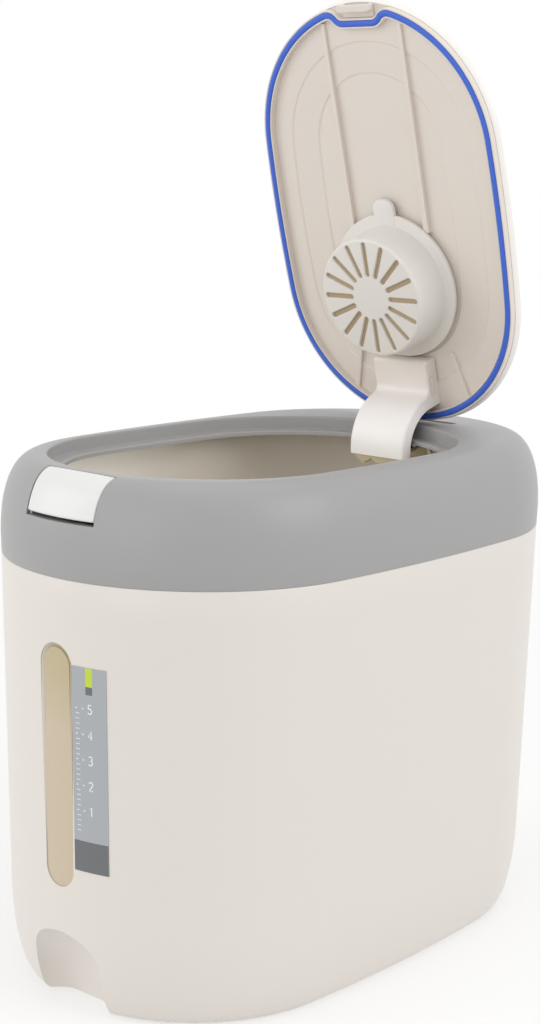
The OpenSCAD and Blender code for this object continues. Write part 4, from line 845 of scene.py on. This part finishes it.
def label_print():
    """The label's generic print: a dark foot, a green tab over a dark square, level marks, plain numerals."""
    ink = {"dark": plastic("print_dark", "#6b6d70", 0.45), "green": plastic("print_green", "#c3d63f", 0.45),
           "pale": plastic("print_pale", "#eceeef", 0.45)}
    printed("label_foot", LABEL_X, (LABEL_Z[0], LABEL_FOOT_TOP), ink["dark"])
    printed("label_tab", LABEL_TAB_X, (LABEL_TAB_LOW, LABEL_Z[1]), ink["green"])
    printed("label_square", LABEL_TAB_X, (LABEL_SQUARE_LOW, LABEL_TAB_LOW), ink["dark"])
    low, step, left, digit = 100.5, 13.6, 14.0, 2.35
    strokes = []
    for level in range(1, 6):
        z = low + step * level
        strokes.append(([[left, z], [left + 5.0, z]], 0.55))
        strokes.append((numeral(level) * digit + [21.6, z - digit], 0.62))
        strokes += [([[left, z - step / 5 * k], [left + 2.4, z - step / 5 * k]], 0.35) for k in range(1, 5)]
    points, faces = [], []
    for line, width in strokes:
        more_points, more_faces = ribbon(np.array(line), width, LABEL_FACE + PRINT_THICK)
        start = sum(map(len, points))
        faces += [[start + i for i in face] for face in more_faces]
        points.append(more_points)
    add_piece("label_marks", np.concatenate(points), faces, "bin", "label_film", 40.0, ink["pale"])


label_print()


# ---- push button ----
def rate(values, at):
    """How fast values change along each row, at uneven places.

    Inside, it is the mean of the slopes on both sides, each weighted by the other side's gap; at an end it is
    the one slope there.
    """
    gap = np.diff(at)
    slope = np.diff(values) / gap
    inside = (gap[:, 1:] * slope[:, :-1] + gap[:, :-1] * slope[:, 1:]) / (gap[:, 1:] + gap[:, :-1])
    return np.concatenate([slope[:, :1], inside, slope[:, -1:]], 1)


def button_skin(roll=1.1, count=64):
    """The button's shell: the shoulder's skin, rolled over at its edges, over a face one wall further in.

    A point is found by x and by the distance along the shoulder's profile, from the lower edge to the rear
    one. Within roll of an edge it sinks along the skin's normal by roll - sqrt(roll^2 - (roll - distance)^2),
    both ways together.
    """
    def spaced(length):
        """Places from nought to each length, closer together within the roll, as roll (1 - cos t)."""
        near = roll * (1 - np.cos(np.linspace(0, math.pi / 2, 9)[:-1]))
        far = (length[..., None] - near)[..., ::-1]
        middle = np.linspace(roll, length - roll, count, axis=-1)
        return np.concatenate([np.broadcast_to(near, far.shape), middle, far], -1)

    upright = np.stack([np.full(8, BULGE), np.linspace(SEAM + 2, SEAM + BAND, 8)], 1)
    profile = np.concatenate([upright, shoulder(0, 160)[1:], [[-60.0, DECK]]])
    length = np.concatenate([[0], np.cumsum(np.linalg.norm(np.diff(profile, axis=0), axis=1))])
    reach = BIN_OVAL[0] - BIN_OVAL[2]
    x = spaced(np.array(2 * BUTTON_HALF))[:, None] - BUTTON_HALF
    low = np.interp(BUTTON_LOW, profile[:-1, 1], length[:-1])
    high = np.interp(BIN_OVAL[2] - np.hypot(x, BUTTON_REAR + reach), -profile[:, 0], length)
    place = spaced(high[:, 0] - low) + low
    off, z = (np.interp(place, length, profile[:, k]) for k in (0, 1))
    radius = BIN_OVAL[2] + off
    y = -reach - np.sqrt(radius ** 2 - x ** 2)
    level, up = rate(z, place), -rate(off, place)
    normal = np.stack([level * x / radius, level * (y + reach) / radius, up], -1)
    normal /= np.hypot(level, up)[..., None]
    edge = np.hypot(np.maximum(roll - np.minimum(place - low, high - place), 0),
                    np.maximum(roll - BUTTON_HALF + abs(x), 0))
    sink = roll - np.sqrt(np.maximum(roll ** 2 - edge ** 2, 0))
    skin = np.stack([np.broadcast_to(x, y.shape), y, z], -1)
    points = np.stack([skin - normal * sink[..., None], skin - normal * BUTTON_WALL])
    rows, columns = y.shape
    faces = [f[::-1] for f in grid_faces(rows, columns, loop_columns=False)]
    faces += grid_faces(rows, columns, loop_columns=False, start=y.size)
    corner = np.arange(y.size).reshape(rows, columns)
    rim = np.concatenate([corner[0, :-1], corner[:-1, -1], corner[-1, :0:-1], corner[:0:-1, 0]])
    after = np.roll(rim, -1)
    faces += np.stack([rim, after, after + y.size, rim + y.size], 1).tolist()
    return points.reshape(-1, 3), faces


ear_rear = PIVOT[0] + 1.5
ear = [(-176, 265.5), (PIVOT[0], PIVOT[1] - 4), (ear_rear, PIVOT[1]), (ear_rear, 287), (-176, 287)]
inner_x = BUTTON_HALF - BUTTON_WALL
ears = []
for x0, x1 in ((-BUTTON_HALF, -inner_x), (inner_x, BUTTON_HALF)):
    ears += [across(ear, x0, x1), round_bar(x0, x1, *PIVOT, 4.0)]
core = oval_rings(BIN_OVAL, np.concatenate([[[-30, SEAM - 10], [-1.2, SEAM - 10]], shoulder(1.2)]))
shelf = block((-5, -174.0, 265.0), (5, -151.9, 267.4))
others = [combine(part, [sweep(core)], "INTERSECT") for part in ears + [shelf]]
others += [round_bar(x - 1.8, x + 1.8, *PIVOT, 2.0) for x in (-25.3, 25.3)]
others.append(block((-5, -154.3, PUSH_Z - 2.4), (5, -151.9, 267.3)))
button = combine(button_skin(), others, "UNION")
button = add_piece("push_button", *mesh_of(button), "button", "button_plastic", 38.0)
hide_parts("latch_button")


# ---- springs ----
def wire_tube(middle, wire, axis, around=12):
    """A round wire along a line of points: circles square to it, with one axis square to the coil's own."""
    way = np.gradient(middle, axis=0)
    way /= np.linalg.norm(way, axis=1)[:, None]
    side = np.cross(way, axis)
    side /= np.linalg.norm(side, axis=1)[:, None]
    other = np.cross(way, side)
    a = np.linspace(0, 2 * math.pi, around, endpoint=False)
    a = a[None, :, None]
    return sweep(middle[:, None] + wire * (np.cos(a) * side[:, None] + np.sin(a) * other[:, None]))


def push_coil(radius=2.5, wire=0.35, turns=6.0, length=6.5, foot=(0.0, -164.4, PUSH_Z)):
    """A compression spring along Y: radius (cos t, sin t) across, rising slowly in its end turns."""
    t = np.linspace(0, 2 * math.pi * turns, 241)
    steep = np.interp(t / (2 * math.pi), [0, 0.9, 1.2, turns - 1.2, turns - 0.9, turns],
                      [0.7, 0.7, 1.6, 1.6, 0.7, 0.7])
    rise = np.concatenate([[0], np.cumsum((steep[1:] + steep[:-1]) / 2)])
    y = foot[1] + wire + rise / rise[-1] * (length - 2 * wire)
    return wire_tube(np.stack([radius * np.cos(t), y, foot[2] + radius * np.sin(t)], 1), wire, (0, 1, 0))


def turn_coil(radius=4.0, wire=0.7, turns=6.25, half=3.83):
    """The lid's torsion spring: a leg, a helix y = r sin t, z = -r cos t along X, then a bend and a leg."""
    t = np.linspace(0, 2 * math.pi * turns, 300)
    leg = np.linspace(-18, 0, 10)[:-1]
    bend = np.linspace(0, math.pi / 2, 9)
    y = np.concatenate([leg, radius * np.sin(t), [4, 4], 6 - 2 * np.cos(bend), [8, 10.5, 13]])
    z = np.concatenate([np.full(9, -radius), -radius * np.cos(t), [0.7, 1.4], 2 + 2 * np.sin(bend),
                        [4, 4, 4]])
    x = np.concatenate([np.full(9, -half), np.linspace(-half, half, 300), np.full(14, half)])
    return wire_tube(np.stack([x, PIN[0] + y, PIN[1] + z], 1), wire, (1, 0, 0))


coil = add_piece("push_coil", *push_coil(), "slider", "spring_steel", 60.0)
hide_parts("latch_spring")
coil = add_piece("turn_coil", *turn_coil(), "bin", "spring_steel", 60.0)
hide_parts("hinge_spring")


# ---- floor, light, camera ----
def stage_floor(radius=1.5, clear_from=0.5, clear_to=1.3):
    """A round floor just under the bin, which fades with the distance from it into the white room."""
    t = np.linspace(0, 2 * math.pi, 96, endpoint=False)
    mesh = bpy.data.meshes.new("floor")
    ring = np.stack([radius * np.cos(t), radius * np.sin(t), np.full(96, -0.0006)], 1)
    mesh.from_pydata(ring.tolist(), [], [tuple(range(96))])
    floor = new_object("floor", mesh)
    material = plastic("floor_white", "#fbfbfa", 0.8)
    nodes, links = material.node_tree.nodes, material.node_tree.links
    place = nodes.new("ShaderNodeTexCoord")
    far_off = nodes.new("ShaderNodeVectorMath")
    far_off.operation = "LENGTH"
    links.new(place.outputs["Object"], far_off.inputs[0])
    fade = nodes.new("ShaderNodeMapRange")
    fade.interpolation_type = "SMOOTHSTEP"
    fade.inputs["From Min"].default_value = clear_from
    fade.inputs["From Max"].default_value = clear_to
    fade.inputs["To Min"].default_value = 0.5
    links.new(far_off.outputs["Value"], fade.inputs["Value"])
    clear = nodes.new("ShaderNodeBsdfTransparent")
    blend = nodes.new("ShaderNodeMixShader")
    links.new(fade.outputs["Result"], blend.inputs[0])
    links.new(nodes["Principled BSDF"].outputs[0], blend.inputs[1])
    links.new(clear.outputs[0], blend.inputs[2])
    links.new(blend.outputs[0], nodes["Material Output"].inputs["Surface"])
    mesh.materials.append(material)


def softbox(name, place, aim, size, power):
    """A square area lamp at a place, turned to a point."""
    lamp = bpy.data.lights.new(name, "AREA")
    lamp.shape = "SQUARE"
    lamp.size = size
    lamp.energy = power
    thing = new_object(name, lamp)
    way = Vector(aim) - Vector(place)
    thing.location = place
    thing.rotation_euler = way.to_track_quat("-Z", "Y").to_euler()


stage_floor()
softbox("left", (-1.6, -1.7, 1.0), (0, 0, 0.2), 1.4, 11)
softbox("right", (2.0, 0.5, 1.3), (0, 0, 0.2), 1.4, 15)
softbox("front", (0.2, -2.4, 0.7), (0, 0, 0.3), 1.4, 8)
softbox("top", (0.2, 0.1, 2.4), (0, 0, 0.2), 1.8, 8)

world = bpy.data.worlds.new("room")
bpy.context.scene.world = world
world.use_nodes = True
nodes, links = world.node_tree.nodes, world.node_tree.links
room = nodes["Background"]
room.inputs["Color"].default_value = (1, 1, 1, 1)
room.inputs["Strength"].default_value = 0.70
seen = nodes.new("ShaderNodeBackground")
seen.inputs["Color"].default_value = (1, 1, 1, 1)
seen.inputs["Strength"].default_value = 1.0
path = nodes.new("ShaderNodeLightPath")
looks = path.outputs["Is Camera Ray"]
for ray in ("Is Glossy Ray", "Is Transmission Ray"):
    either = nodes.new("ShaderNodeMath")
    either.operation = "MAXIMUM"
    links.new(looks, either.inputs[0])
    links.new(path.outputs[ray], either.inputs[1])
    looks = either.outputs[0]
mix = nodes.new("ShaderNodeMixShader")
links.new(looks, mix.inputs[0])
links.new(room.outputs[0], mix.inputs[1])
links.new(seen.outputs[0], mix.inputs[2])
links.new(mix.outputs[0], nodes["World Output"].inputs["Surface"])

camera = bpy.data.cameras.new("camera")
camera.lens = 66.64
camera.sensor_width = 36.0
camera.clip_end = 50.0
view = new_object("camera", camera)
turn, dip, roll = math.radians(41.12), math.radians(10.77), math.radians(1.05)
back = np.array([math.sin(turn) * math.cos(dip), -math.cos(turn) * math.cos(dip), math.sin(dip)])
right = np.cross(-back, [0, 0, 1])
right /= np.linalg.norm(right)
up = np.cross(right, -back)
right, up = math.cos(roll) * right + math.sin(roll) * up, -math.sin(roll) * right + math.cos(roll) * up
place = np.array([692.80, -803.97, 445.91]) / 1000
view.matrix_world = Matrix([[right[k], up[k], back[k], place[k]] for k in range(3)] + [[0, 0, 0, 1]])
bpy.context.scene.camera = view

bpy.context.scene.view_settings.view_transform = "Standard"
